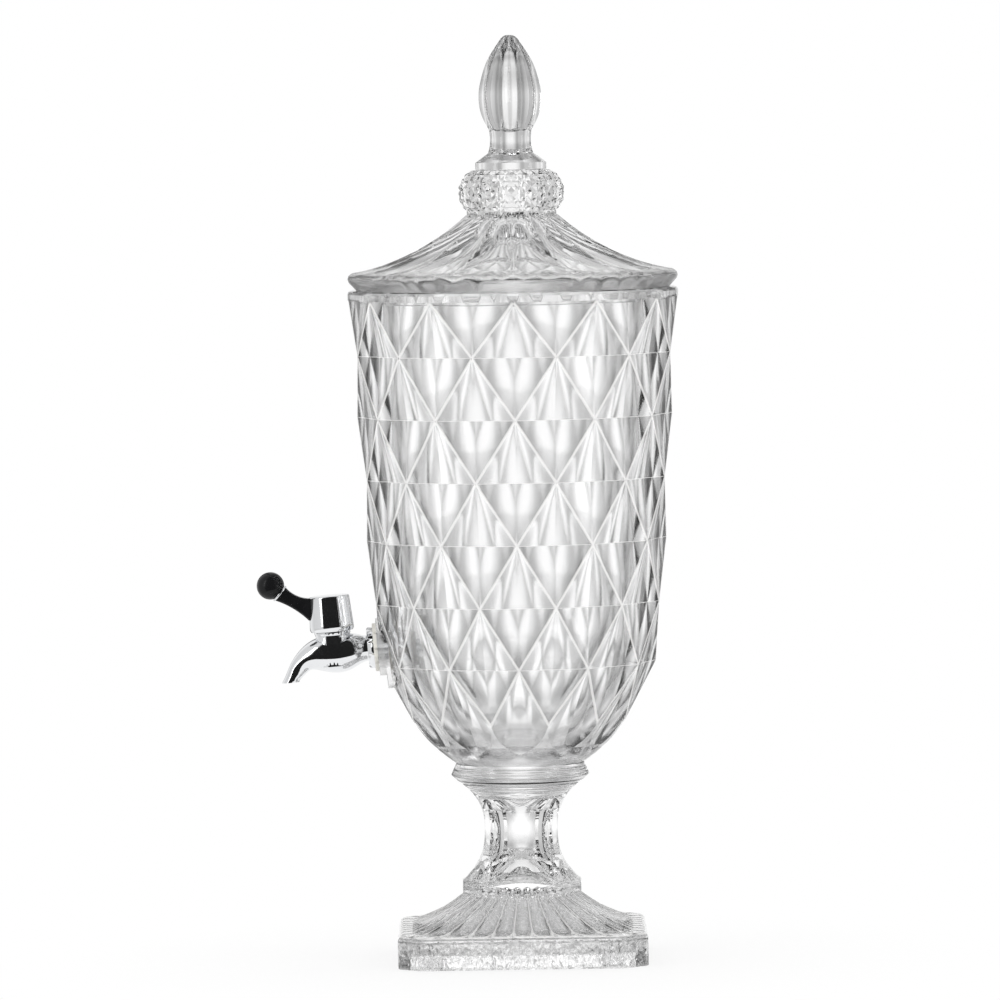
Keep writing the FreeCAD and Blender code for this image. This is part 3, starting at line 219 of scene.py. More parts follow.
class GlassLook(bpy.types.PropertyGroup):
    tint: FloatVectorProperty(
        name="Tint", description="Colour of the clear glass", subtype="COLOR", size=3, min=0, max=1,
        default=(0.992, 0.992, 0.993))
    light_bend: FloatProperty(
        name="Light bend", description="Refractive index of the glass", default=1.5, min=1, max=2)
    # Painted highlight: how white the line along each ridge is made
    ridge_highlight: FloatProperty(
        name="Ridge milk", description="How milky the worn ridges are", default=0.6, min=0, max=1)
    # Painted highlight: how white the level line across each diamond is made
    row_highlight: FloatProperty(
        name="Row milk", description="How milky the level line across each diamond is",
        default=0.5, min=0, max=1)
    diamond_dish: FloatProperty(
        name="Diamond dish", description="How far each diamond is hollowed beyond its flat facets",
        default=0.85 * MILLIMETRE, unit="LENGTH", subtype="DISTANCE")
    fan: FloatProperty(
        name="Fan", description="Depth of the fan of streaks in the upper half of each diamond",
        default=0.22 * MILLIMETRE, unit="LENGTH", subtype="DISTANCE")
    streak: FloatProperty(
        name="Streak", description="Depth of the upright streaks that the plunger draws in the bowl",
        default=0.07 * MILLIMETRE, unit="LENGTH", subtype="DISTANCE")
    # Painted highlight: how white the edges between the foot's petal flutes are made
    petal_highlight: FloatProperty(
        name="Petal milk", description="How milky the edges between the foot's petal flutes are",
        default=0.45, min=0, max=1)
    # Painted shade: how dark the lower half of each diamond is made beside its ridges
    diamond_shade: FloatProperty(
        name="Diamond shade", description="How dark the lower half of each diamond is beside its ridges",
        default=0.3, min=0, max=1)
    # Painted shade: how dark the bud's glass is made along the grooves between its lobes
    bud_shade: FloatProperty(
        name="Bud shade", description="How dark the glass of the bud is along the grooves between its lobes",
        default=0.5, min=0, max=1)
    # Painted shade: how dark the glass is made beside the edges of the petal flutes
    petal_shade: FloatProperty(
        name="Petal shade", description="How dark the glass is beside the edges of the foot's petal flutes",
        default=0.17, min=0, max=1)
    # Painted shade: how dark the specks on the upper band of the foot's wall are made
    plate_shade: FloatProperty(
        name="Plate shade", description="How dark the specks are in the upper band of the foot's wall",
        default=0.62, min=0, max=1)
    lid_milk: FloatProperty(
        name="Lid milk", description="How milky the lid's glass is", default=0.03, min=0, max=1)
    inside_rough: FloatProperty(
        name="Inside roughness", description="How uneven the plunger leaves the glass inside the bowl",
        default=0.14, min=0, max=1)
    lid_inside_rough: FloatProperty(
        name="Lid inside roughness", description="How uneven the glass is inside the lid",
        default=0.05, min=0, max=1)
    lid_edge_rough: FloatProperty(
        name="Lid edge roughness", description="How uneven the glass is round the lid's edge",
        default=0.24, min=0, max=1)
    bud_rough: FloatProperty(
        name="Bud roughness", description="How uneven the glass of the bud is", default=0.05, min=0, max=1)
    stem_flute: FloatProperty(
        name="Stem flute", description="Depth of the hollow in each panel of the stem",
        default=7 * MILLIMETRE, unit="LENGTH", subtype="DISTANCE")
    petal_flute: FloatProperty(
        name="Petal flute", description="Added depth of the petal flutes on the foot's sweep",
        default=4 * MILLIMETRE, unit="LENGTH", subtype="DISTANCE")
    plate_grain: FloatProperty(
        name="Plate grain", description="Depth of the mould's grain in the foot's wall",
        default=1.7 * MILLIMETRE, unit="LENGTH", subtype="DISTANCE")
    collar_ring: FloatProperty(
        name="Collar ring", description="Depth of the level rings pressed into the pedestal's collar",
        default=0.35 * MILLIMETRE, unit="LENGTH", subtype="DISTANCE")
    ripple: FloatProperty(
        name="Ripple", description="Depth of the waviness that pressing leaves in the glass",
        default=0.09 * MILLIMETRE, unit="LENGTH", subtype="DISTANCE")


class TapLook(bpy.types.PropertyGroup):
    chrome: FloatVectorProperty(
        name="Chrome", description="Colour of the plated tap", subtype="COLOR", size=3, min=0, max=1,
        default=(0.86, 0.87, 0.885))
    black: FloatVectorProperty(
        name="Black", description="Colour of the moulded lever and ball", subtype="COLOR", size=3,
        min=0, max=1, default=(0.012, 0.012, 0.013))
    cream: FloatVectorProperty(
        name="Cream", description="Colour of the soft washers", subtype="COLOR", size=3, min=0, max=1,
        default=(0.84, 0.82, 0.76))
    white: FloatVectorProperty(
        name="White", description="Colour of the nut and the plug", subtype="COLOR", size=3, min=0, max=1,
        default=(0.82, 0.82, 0.81))
    seal: FloatVectorProperty(
        name="Seal", description="Colour of the plug's sealing rings", subtype="COLOR", size=3, min=0, max=1,
        default=(0.035, 0.035, 0.035))
    steel: FloatVectorProperty(
        name="Steel", description="Colour of the handle's screw", subtype="COLOR", size=3, min=0, max=1,
        default=(0.6, 0.61, 0.62))


class StageLook(bpy.types.PropertyGroup):
    camera_distance: FloatProperty(
        name="Camera distance", description="Camera to the bowl's axis, along the ground",
        default=5.4, unit="LENGTH", subtype="DISTANCE")
    camera_height: FloatProperty(
        name="Camera height", description="Camera above the ground",
        default=0.53, unit="LENGTH", subtype="DISTANCE")
    camera_side: FloatProperty(
        name="Camera side", description="Turn of the camera round the bowl",
        default=math.radians(0), subtype="ANGLE")
    camera_roll: FloatProperty(
        name="Camera roll", description="Turn of the picture about its middle",
        default=math.radians(0.9), subtype="ANGLE")
    picture_width: FloatProperty(
        name="Picture width", description="Width that the picture takes in at the bowl's axis",
        default=0.579, unit="LENGTH", subtype="DISTANCE")
    soft_light: FloatProperty(
        name="Soft light", description="Level of the light from all round", default=1.0, min=0, max=2)
    lamp_power: FloatProperty(
        name="Lamp power", description="Power of each of the two strip lamps",
        default=4, min=0, unit="POWER", subtype="POWER")


# Hand work on meshes

def only(piece):
    """Leave one piece selected and active, out of edit mode."""
    bpy.ops.object.select_all(action="DESELECT")
    piece.select_set(True)
    bpy.context.view_layer.objects.active = piece


@contextmanager
def editing(piece, kind="VERT"):
    """Work in edit mode on one piece, with its chosen points, edges or faces still chosen."""
    only(piece)
    bpy.context.tool_settings.mesh_select_mode = [kind == each for each in ("VERT", "EDGE", "FACE")]
    bpy.ops.object.mode_set(mode="EDIT")
    yield
    bpy.ops.object.mode_set(mode="OBJECT")


def merged_copy(node, name, whole_facets=False):
    """A new piece from a solid's mesh, with its loose triangles joined. Its normals are the solid's own, or
    flat faces are made whole and its normals are left to be set anew."""
    piece = bpy.data.objects.new(name, NODES[node].data.copy())
    bpy.context.scene.collection.objects.link(piece)
    piece.data.materials.clear()
    only(piece)
    if whole_facets:
        bpy.ops.mesh.customdata_custom_splitnormals_clear()
    with editing(piece):
        bpy.ops.mesh.select_all(action="SELECT")
        bpy.ops.mesh.remove_doubles(threshold=SAME_POINT)
        if whole_facets:
            bpy.ops.mesh.dissolve_limited(angle_limit=SAME_FACE)
        bpy.ops.mesh.select_all(action="DESELECT")
    return piece


def outward(place):
    """The level direction from the axis to a place."""
    flat = Vector((place.x, place.y, 0))
    return flat.normalized() if flat.length > ON_AXIS else Vector((0, 0, 1))


def from_axis(place):
    """How far a place is from the axis."""
    return math.hypot(place.x, place.y)


def select_edges(piece, wanted):
    """Select the edges between two faces for which wanted(edge's middle, turn in degrees, faces) holds, and
    count them."""
    mesh = piece.data
    beside = {}
    for face in mesh.polygons:
        for key in face.edge_keys:
            beside.setdefault(key, []).append(face)
    chosen = 0
    for edge in mesh.edges:
        faces = beside.get(tuple(sorted(edge.vertices)), ())
        picked = False
        if len(faces) == 2:
            ends = [mesh.vertices[index].co for index in edge.vertices]
            turn = math.degrees(faces[0].normal.angle(faces[1].normal, 0.0))
            picked = wanted((ends[0] + ends[1]) / 2, turn, faces)
        edge.select = picked
        chosen += picked
    return chosen


def settle(piece, low, high, step):
    """Shift the part of a piece between two heights, to leave a hair's gap to what it meets."""
    for vertex in piece.data.vertices:
        vertex.select = low <= vertex.co.z <= high
    with editing(piece, "VERT"):
        bpy.ops.transform.translate(value=(0, 0, step))


def thin_down(piece, share):
    """Draw a flat piece in towards its own middle, so that it doesn't share faces with its neighbours."""
    low = Vector(piece.bound_box[LOWEST_CORNER])
    high = Vector(piece.bound_box[HIGHEST_CORNER])
    with editing(piece):
        bpy.ops.mesh.select_all(action="SELECT")
        bpy.ops.transform.resize(value=(share, share, share), center_override=(low + high) / 2)


def flat_end(piece, face, height, reach=math.inf):
    """Does this face lie level at this height, and within this reach of the axis?"""
    places = [piece.data.vertices[index].co for index in face.vertices]
    return all(abs(place.z - height) < SAME_LEVEL and from_axis(place) < reach for place in places)


def inset_flat(piece, height, width):
    """Draw a smaller outline inside the flat end of a piece at this height."""
    for face in piece.data.polygons:
        face.select = flat_end(piece, face, height)
    with editing(piece, "FACE"):
        bpy.ops.mesh.inset(thickness=width)
        bpy.ops.mesh.select_all(action="DESELECT")


def join_glass(piece, height, reach=math.inf):
    """Let light pass straight through a flat end that is bonded to the next piece of glass."""
    joined = [face for face in piece.data.polygons if flat_end(piece, face, height, reach)]
    if not joined:
        raise RuntimeError(f"{piece.name} has no flat end at {height}")
    piece.data.materials.append(finish_named("bonded_face"))
    for face in joined:
        face.material_index = len(piece.data.materials) - 1


def refinish(piece, name, wanted):
    """Give the faces of the first finish for which wanted(face) holds a finish of their own."""
    piece.data.materials.append(finish_named(name))
    for face in piece.data.polygons:
        if face.material_index == 0 and wanted(face):
            face.material_index = len(piece.data.materials) - 1


def map_reach(piece):
    """Note on each face beside a selected edge how far each corner is from that edge, 0 on it and 1 at the
    farthest, and how near it is to the upper tip of a face that has one (below 0 on the others)."""
    mesh = piece.data
    near = {index for edge in mesh.edges if edge.select for index in edge.vertices}
    layer = mesh.uv_layers.new(name=REACH_MAP)
    for face in mesh.polygons:
        places = [mesh.vertices[index].co for index in face.vertices]
        ends = [mesh.vertices[index].co for index in face.vertices if index in near]
        notes = [(1.0, NO_TIP)] * len(places)
        if len(ends) > 1:
            start, end = max(((one, other) for one in ends for other in ends),
                             key=lambda pair: (pair[0] - pair[1]).length)
            ridge = (end - start).normalized()
            reach = [((place - start) - ridge * (place - start).dot(ridge)).length for place in places]
            farthest = max(reach)
            level = places[reach.index(farthest)].z
            rise = max(place.z for place in places) - level
            notes = [(far / farthest, (place.z - level) / rise if rise > TIP_RISE else NO_TIP)
                     for far, place in zip(reach, places)]
        for corner, note in zip(face.loop_indices, notes):
            layer.data[corner].uv = note


def smooth_turns(piece, angle):
    """Round the shading over small turns only."""
    only(piece)
    bpy.ops.object.shade_smooth_by_angle(angle=math.radians(angle))


def flatten(piece):
    """Let the large faces keep their own shading up to their edges."""
    only(piece)
    piece.modifiers.new("weighted", "WEIGHTED_NORMAL").keep_sharp = True
    bpy.ops.object.modifier_apply(modifier="weighted")


def sharpen(piece, wanted):
    """Keep the shading crisp along the edges for which wanted(edge's middle, turn, faces) holds."""
    select_edges(piece, wanted)
    with editing(piece, "EDGE"):
        bpy.ops.mesh.mark_sharp()
        bpy.ops.mesh.select_all(action="DESELECT")


def finish(piece, node, material):
    """Give a piece its finish and let it stand for its solid."""
    piece.data.materials.append(finish_named(material))
    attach(piece, NODES[node]["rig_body"])
    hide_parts(node)


# Building blocks of finishes

def feed(tree, node, inputs):
    """Give inputs of a node, by name or number, their values or the outputs that they take them from."""
    for key, value in inputs.items():
        if isinstance(value, bpy.types.NodeSocket):
            tree.links.new(value, node.inputs[key])
        else:
            node.inputs[key].default_value = value


def added(tree, kind, inputs, **settings):
    """A new node with these settings and inputs."""
    node = tree.nodes.new("ShaderNode" + kind)
    for name, value in settings.items():
        setattr(node, name, value)
    feed(tree, node, inputs)
    return node


def worked(tree, operation, *values):
    """A sum on numbers and sockets."""
    return added(tree, "Math", dict(enumerate(values)), operation=operation).outputs[0]


def product(tree, first, *others):
    """Numbers and sockets multiplied in this order."""
    for other in others:
        first = worked(tree, "MULTIPLY", first, other)
    return first


def vector_worked(tree, operation, *values):
    """A sum on vectors or colours."""
    return added(tree, "VectorMath", dict(enumerate(values)), operation=operation).outputs["Vector"]


def length_of(tree, vector):
    """The length of a vector."""
    return added(tree, "VectorMath", {0: vector}, operation="LENGTH").outputs["Value"]


def rescaled(tree, colour, share):
    """A colour times a number."""
    return added(tree, "VectorMath", {0: colour, "Scale": share}, operation="SCALE").outputs["Vector"]


def split(tree, vector):
    """The three numbers of a vector."""
    parts = added(tree, "SeparateXYZ", {"Vector": vector})
    return [parts.outputs[axis] for axis in "XYZ"]


def own_place(tree):
    """Where a point lies in its piece's own coordinates."""
    return added(tree, "TexCoord", {}).outputs["Object"]


def noise(tree, scale, detail, stretch=(1, 1, 1)):
    """A noise pattern on the piece's own coordinates, closer along an axis where stretch is larger."""
    mapping = added(tree, "Mapping", {"Vector": own_place(tree), "Scale": stretch})
    inputs = {"Vector": mapping.outputs["Vector"], "Scale": scale, "Detail": detail}
    return added(tree, "TexNoise", inputs).outputs["Fac"]


def mapped(tree, value, span, results, **settings):
    """A value in a span turned into one between two results."""
    limits = zip(("From Min", "From Max", "To Min", "To Max"), (*span, *results))
    return added(tree, "MapRange", {"Value": value, **dict(limits)}, **settings).outputs["Result"]


def spread_between(tree, pattern, low, high):
    """Turn a pattern into a number between low and high."""
    return mapped(tree, pattern, NOISE_SPAN, (low, high))


def falling(tree, value, span, most):
    """A number that falls smoothly from most, where value is below the span, to 0, where it is above."""
    return mapped(tree, value, span, (most, 0.0), interpolation_type="SMOOTHSTEP")


def within(tree, value, span, edge):
    """1 where value is in a span, 0 outside, with a soft edge."""
    low, high = span
    rising = worked(tree, "DIVIDE", worked(tree, "SUBTRACT", value, low), edge)
    sinking = worked(tree, "DIVIDE", worked(tree, "SUBTRACT", high, value), edge)
    share = worked(tree, "MINIMUM", worked(tree, "MINIMUM", rising, sinking), 1.0)
    return worked(tree, "MAXIMUM", share, 0.0)


def ramp(tree, factor, stops):
    """A colour between stops, each a position and a colour."""
    node = added(tree, "ValToRGB", {"Fac": factor})
    elements = node.color_ramp.elements
    while len(elements) < len(stops):
        elements.new(0.5)
    for element, (position, colour) in zip(elements, stops):
        element.position = position
        element.color = (*colour, 1)
    return node.outputs["Color"]


def scaled(numbers, share):
    """Numbers, such as those of a colour, times a share."""
    return tuple(number * share for number in numbers)


def shade_between(tree, pattern, colour, dim):
    """Turn a pattern into a colour between a dimmed one and the full one."""
    return ramp(tree, pattern, tuple(zip(NOISE_SPAN, (scaled(colour, dim), tuple(colour)))))


def raise_surface(tree, shader, pattern, depth):
    """Add a relief to a finish, over any that it has already."""
    bump = added(tree, "Bump", {"Height": pattern, "Distance": depth, "Strength": 1})
    for earlier in shader.inputs["Normal"].links:
        tree.links.new(earlier.from_socket, bump.inputs["Normal"])
    tree.links.new(bump.outputs["Normal"], shader.inputs["Normal"])


def mixed(tree, share, first, second):
    """The first shader, with a share of the second."""
    return added(tree, "MixShader", {"Fac": share, 1: first, 2: second}).outputs["Shader"]


def new_material(name):
    """A new material, its node tree and its main shader."""
    material = bpy.data.materials.new(name)
    material.use_nodes = True
    tree = material.node_tree
    return material, tree, tree.nodes["Principled BSDF"]


def show(tree, shader):
    """Let a material show this shader."""
    feed(tree, tree.nodes["Material Output"], {"Surface": shader})


# Patterns in the glass

def reach_parts(tree):
    """The two numbers that map_reach notes on a piece."""
    return split(tree, added(tree, "UVMap", {}, uv_map=REACH_MAP).outputs["UV"])[:2]


def diamond_relief(tree, shader, look):
    """A dish in each diamond, steepest beside its ridges, and a fan of streaks under its upper tip."""
    share, tip = reach_parts(tree)
    # A parabola, 0 on the ridge and level at the farthest corner, where share is 1
    dish = product(tree, share, worked(tree, "SUBTRACT", share, 2.0))
    raise_surface(tree, shader, dish, look.diamond_dish)
    below = worked(tree, "MAXIMUM", worked(tree, "SUBTRACT", 1.0, tip), FAN_LEAST)
    turn = product(tree, worked(tree, "DIVIDE", share, below), 2 * math.pi * FAN_STREAKS)
    hanging = worked(tree, "GREATER_THAN", tip, HAS_TIP)
    raise_surface(tree, shader, product(tree, worked(tree, "COSINE", turn), below, hanging), look.fan)
    raise_surface(tree, shader, noise(tree, STREAK_WAVE, detail=1, stretch=STREAK_STRETCH), look.streak)


def bowl_lines(tree, look):
    """White along the ridges and along the level line across each diamond, as painted highlights, and milky
    on the ground face round the tap hole.
    """
    share, tip = reach_parts(tree)
    # Painted highlight: white lines along the ridges and rows, for light caught on the rounded glass
    ridges = falling(tree, share, RIDGE_LINE, look.ridge_highlight)
    hanging = worked(tree, "GREATER_THAN", tip, HAS_TIP)
    rows = product(tree, falling(tree, tip, ROW_LINE, look.row_highlight), hanging)
    return worked(tree, "MAXIMUM", worked(tree, "MAXIMUM", ridges, rows), pad_share(tree))


def pad_share(tree):
    """How milky the glass is on the ground face round the tap hole."""
    low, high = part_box("tap_outer_gasket")
    middle = (low + high) / 2
    from_tap = vector_worked(tree, "SUBTRACT", own_place(tree), (middle.x, 0, middle.z))
    reach = length_of(tree, vector_worked(tree, "MULTIPLY", from_tap, PAD_SQUEEZE))
    return falling(tree, reach, PAD_EDGE, PAD_MILK)


def bowl_shade(tree, look):
    """Painted shade: dark beside the ridges in the lower half of each diamond."""
    share, tip = reach_parts(tree)
    lower = worked(tree, "LESS_THAN", tip, HAS_TIP)
    return product(tree, falling(tree, share, DIAMOND_SHADE, look.diamond_shade), lower)


def scallop_round(tree, count):
    """How far a point is from the edge of its flute, 0 on it and 1 in the middle, with so many all round."""
    along, across = split(tree, own_place(tree))[:2]
    turn = product(tree, worked(tree, "ARCTAN2", along, across), count / 2)
    return worked(tree, "ABSOLUTE", worked(tree, "COSINE", turn))


def petal_parts(tree):
    """How far a point is inside the edge of its round-ended petal flute, 1 in the middle and below 0 outside,
    and a number that is 1 on the sweep only."""
    height = split(tree, own_place(tree))[2]
    aside = worked(tree, "SUBTRACT", 1.0, scallop_round(tree, FLUTES))
    below = worked(tree, "DIVIDE", worked(tree, "SUBTRACT", PETAL_END, height), PETAL_ARC)
    below = worked(tree, "MAXIMUM", below, 0.0)
    squares = worked(tree, "ADD", product(tree, aside, aside), product(tree, below, below))
    inside = worked(tree, "SUBTRACT", 1.0, worked(tree, "SQRT", squares))
    return inside, within(tree, height, SWEEP_HEIGHTS, SWEEP_FADE)


def pedestal_relief(tree, shader, look):
    """A hollow down each panel of the stem, crisp edges to the petal flutes of the sweep, level rings on the
    collar, and the mould's grain on the foot's wall."""
    along, across, height = split(tree, own_place(tree))
    aside = worked(tree, "MINIMUM", worked(tree, "ABSOLUTE", along), worked(tree, "ABSOLUTE", across))
    share = worked(tree, "DIVIDE", aside, STEM_PANEL)
    hollow = product(tree, share, share, within(tree, height, STEM_HEIGHTS, STEM_FADE))
    raise_surface(tree, shader, hollow, look.stem_flute)
    inside, on_sweep = petal_parts(tree)
    edges = worked(tree, "SUBTRACT", 1.0, worked(tree, "MAXIMUM", inside, 0.0))
    raise_surface(tree, shader, product(tree, edges, on_sweep), look.petal_flute)
    wave = worked(tree, "SINE", product(tree, height, 2 * math.pi / COLLAR_PITCH))
    rings = product(tree, wave, within(tree, height, COLLAR_HEIGHTS, COLLAR_FADE))
    raise_surface(tree, shader, rings, look.collar_ring)
    grain = noise(tree, PLATE_WAVE, detail=1, stretch=PLATE_STRETCH)
    grain = product(tree, grain, within(tree, height, PLATE_HEIGHTS, PLATE_FADE))
    raise_surface(tree, shader, grain, look.plate_grain)


def petal_lines(tree, look):
    """White lines painted as highlights along the edges between the foot's petal flutes."""
    inside, on_sweep = petal_parts(tree)
    edge = worked(tree, "ABSOLUTE", inside)
    return product(tree, falling(tree, edge, PETAL_LINE, look.petal_highlight), on_sweep)


def foot_shade(tree, look):
    """Painted shade beside the edges of the petal flutes, and in specks on the upper band of the foot's wall
    for the shading of the mould's grain.
    """
    inside, on_sweep = petal_parts(tree)
    in_petal = product(tree, worked(tree, "GREATER_THAN", inside, 0.0), on_sweep)
    # Painted shade beside the edges of the petal flutes
    beside = product(tree, falling(tree, inside, PETAL_SHADE, look.petal_shade), in_petal)
    height = split(tree, own_place(tree))[2]
    # Painted shade: darker specks on the upper band of the wall, for the shading of the mould's grain
    grain = noise(tree, SHADE_SPECK_WAVE, detail=2, stretch=SHADE_SPECK_STRETCH)
    shade_specks = spread_between(tree, grain, 0.0, look.plate_shade)
    band = product(tree, shade_specks, within(tree, height, SHADE_SPECK_HEIGHTS, SHADE_SPECK_FADE))
    return worked(tree, "MAXIMUM", beside, band)


def bud_shade(tree, look):
    """Painted shade along the grooves between the bud's lobes, and a little dimming all over."""
    grooves = falling(tree, scallop_round(tree, LOBES), GROOVE_SHADE, look.bud_shade)
    return worked(tree, "MAXIMUM", grooves, BUD_DIM)


# Finishes

def glass(name, look, milk=0.0, rough=CLEAR_ROUGH, lines=None, relief=None, shade=None):
    """Clear glass with a little waviness and a share of milkiness, even or along lines of painted
    highlight and of frosting, and darker where shade is, as painted shade."""
    material, tree, shader = new_material(name)
    smear = noise(tree, SMEAR_WAVE, detail=3)
    colour = shade_between(tree, smear, look.tint, SMEAR_DIM)
    if shade:
        # Painted shade: the glass's colour is darkened where shade is
        colour = rescaled(tree, colour, worked(tree, "SUBTRACT", 1.0, shade(tree, look)))
    least, most = scaled(ROUGH_SPREAD, rough)
    feed(tree, shader, {
        "Base Color": colour,
        "Roughness": spread_between(tree, smear, least, most),
        "Transmission Weight": 1,
        "IOR": look.light_bend,
    })
    raise_surface(tree, shader, noise(tree, RIPPLE_WAVE, detail=2), look.ripple)
    if relief:
        relief(tree, shader, look)
    # Milky white, also used for the lines painted as highlights
    milk_and_highlight = added(tree, "BsdfDiffuse", {"Color": shade_between(tree, smear, MILK_AND_HIGHLIGHT_COLOUR, MILK_AND_HIGHLIGHT_DIM)})
    share = lines(tree, look) if lines else milk
    show(tree, mixed(tree, share, shader.outputs["BSDF"], milk_and_highlight.outputs["BSDF"]))
    return material


def clear_joint(name, look):
    """Glass to glass with no air between: nothing bends, and the film takes a little of the light."""
    material, tree, shader = new_material(name)
    smear = noise(tree, FILM_WAVE, detail=2)
    clear = added(tree, "BsdfTransparent", {"Color": shade_between(tree, smear, look.tint, FILM_DIM)})
    show(tree, clear.outputs["BSDF"])
    tree.nodes.remove(shader)
    return material


def surface(name, colour, rough, wave, depth, metal=0, vary=0.96, stretch=(1, 1, 1), gloss=0.5):
    """An opaque finish: slight shade variation, uneven gloss and a fine relief."""
    material, tree, shader = new_material(name)
    broad = noise(tree, wave, detail=4, stretch=stretch)
    feed(tree, shader, {
        "Base Color": shade_between(tree, broad, colour, vary),
        "Roughness": spread_between(tree, broad, *rough),
        "Metallic": metal,
        "Specular IOR Level": gloss,
    })
    fine = noise(tree, wave * FINE_WAVES, detail=3, stretch=stretch)
    raise_surface(tree, shader, fine, depth)
    return material


def finish_named(name):
    """One of the finishes, made when it is first asked for."""
    if name in bpy.data.materials:
        return bpy.data.materials[name]
    pressed = bpy.context.scene.dispenser_glass
    tap = bpy.context.scene.dispenser_tap
    makers = {
        "bowl_glass": lambda: glass(name, pressed, lines=bowl_lines, relief=diamond_relief, shade=bowl_shade),
        "inside_glass": lambda: glass(name, pressed, rough=pressed.inside_rough),
        "foot_glass": lambda: glass(
            name, pressed, lines=petal_lines, relief=pedestal_relief, shade=foot_shade),
        "lid_glass": lambda: glass(name, pressed, pressed.lid_milk),
        "lid_inside": lambda: glass(name, pressed, rough=pressed.lid_inside_rough),
        "lid_edge": lambda: glass(name, pressed, pressed.lid_milk, pressed.lid_edge_rough),
        "bud_glass": lambda: glass(name, pressed, rough=pressed.bud_rough, shade=bud_shade),
        "clear_adhesive": lambda: clear_joint(name, pressed),
        "bonded_face": lambda: clear_joint(name, pressed),
        "bright_chrome": lambda: surface(
            name, tap.chrome, rough=(0.035, 0.085), wave=140, depth=0.002 * MILLIMETRE, metal=1),
        "black_moulding": lambda: surface(
            name, tap.black, rough=(0.16, 0.26), wave=160, depth=0.004 * MILLIMETRE, vary=0.7, gloss=0.18),
        "cream_silicone": lambda: surface(
            name, tap.cream, rough=(0.42, 0.58), wave=220, depth=0.01 * MILLIMETRE, vary=0.9),
        "black_seal": lambda: surface(
            name, tap.seal, rough=(0.45, 0.6), wave=260, depth=0.01 * MILLIMETRE, vary=0.7),
        "white_moulding": lambda: surface(
            name, tap.white, rough=(0.3, 0.42), wave=200, depth=0.006 * MILLIMETRE, vary=0.94),
        "plain_steel": lambda: surface(
            name, tap.steel, rough=(0.2, 0.34), wave=90, depth=0.004 * MILLIMETRE, metal=1, vary=0.85,
            stretch=(1, 1, 12)),
    }
    return makers[name]()


# Glass pieces

def between_facets(middle, faces):
    """Are both faces beside an edge facets of diamonds?"""
    away = outward(middle)
    return all(face.area > FACET_AREA and face.normal.dot(away) > FACET_LEAN for face in faces)


def is_crease(middle, turn, faces):
    """Is this edge one that stays crisp?"""
    return turn > CREASE_TURN and between_facets(middle, faces)


def is_ridge(middle, turn, faces):
    """Is this edge one that stands out between two diamonds?"""
    raised = (faces[0].center - faces[1].center).dot(faces[1].normal) < 0
    return turn > RIDGE_TURN and raised and between_facets(middle, faces)


def is_inside_bowl(face):
    """Does this face belong to the inner wall or the floor, below the rim?"""
    inward = face.normal.dot(outward(face.center)) < INSIDE_LEAN
    floor = face.normal.z > INSIDE_FLOOR_RISE and from_axis(face.center) < INSIDE_FLOOR_RADIUS
    return face.center.z < RIM_TOP - RIM_BAND and (inward or floor)


def is_under_lid(face):
    """Does this face belong to the lid's hollow underside?"""
    downward = face.normal.z < UNDER_RISE and face.normal.dot(outward(face.center)) < UNDER_LEAN
    return downward and from_axis(face.center) < UNDER_RADIUS


def make_film(node, name):
    """Make the clear film that bonds two pieces of glass."""
    film = merged_copy(node, name)
    thin_down(film, FILM_SHARE)
    finish(film, node, "clear_adhesive")


class DISPENSER_OT_bowl(bpy.types.Operator):
    """Make the diamond-cut bowl, with a white line painted along each ridge as a highlight"""
    bl_idname = "dispenser.bowl"
    bl_label = "Diamond-cut bowl"

    def execute(self, context):
        piece = merged_copy("glass_bowl", "cut_glass_bowl", whole_facets=True)
        finish(piece, "glass_bowl", "bowl_glass")
        if not select_edges(piece, is_ridge):
            raise RuntimeError("the bowl has no ridges to draw")
        map_reach(piece)
        settle(piece, RIM_TOP - RIM_REACH, RIM_TOP + RIM_REACH, -RIM_GAP)
        smooth_turns(piece, BOWL_ROUNDED)
        sharpen(piece, is_crease)
        join_glass(piece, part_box("glass_bowl")[0].z)
        refinish(piece, "inside_glass", is_inside_bowl)
        return {"FINISHED"}


class DISPENSER_OT_pedestal(bpy.types.Operator):
    """Make the pressed pedestal and the clear film that holds the bowl on it"""
    bl_idname = "dispenser.pedestal"
    bl_label = "Pedestal"

    def execute(self, context):
        piece = merged_copy("pedestal_foot", "pressed_pedestal", whole_facets=True)
        smooth_turns(piece, PEDESTAL_ROUNDED)
        flatten(piece)
        finish(piece, "pedestal_foot", "foot_glass")
        join_glass(piece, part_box("pedestal_foot")[1].z)
        make_film("pedestal_bond", "bowl_film")
        return {"FINISHED"}


class DISPENSER_OT_lid(bpy.types.Operator):
    """Make the fluted lid with its beaded ball"""
    bl_idname = "dispenser.lid"
    bl_label = "Fluted lid"

    def execute(self, context):
        piece = merged_copy("lid", "fluted_lid")
        finish(piece, "lid", "lid_glass")
        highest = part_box("lid")[1]
        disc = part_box("finial_bond")[1].x
        inset_flat(piece, highest.z, TOP_INSET)
        join_glass(piece, highest.z, disc + BOND_MARGIN)
        refinish(piece, "lid_inside", is_under_lid)
        refinish(piece, "lid_edge", lambda face: from_axis(face.center) > highest.x - LID_EDGE)
        return {"FINISHED"}


class DISPENSER_OT_finial(bpy.types.Operator):
    """Make the bud finial and the clear film under it"""
    bl_idname = "dispenser.finial"
    bl_label = "Bud finial"

    def execute(self, context):
        piece = merged_copy("lid_finial", "bud_finial", whole_facets=True)
        smooth_turns(piece, BUD_ROUNDED)
        flatten(piece)
        finish(piece, "lid_finial", "bud_glass")
        join_glass(piece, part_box("lid_finial")[0].z)
        make_film("finial_bond", "finial_film")
        return {"FINISHED"}


# Tap pieces

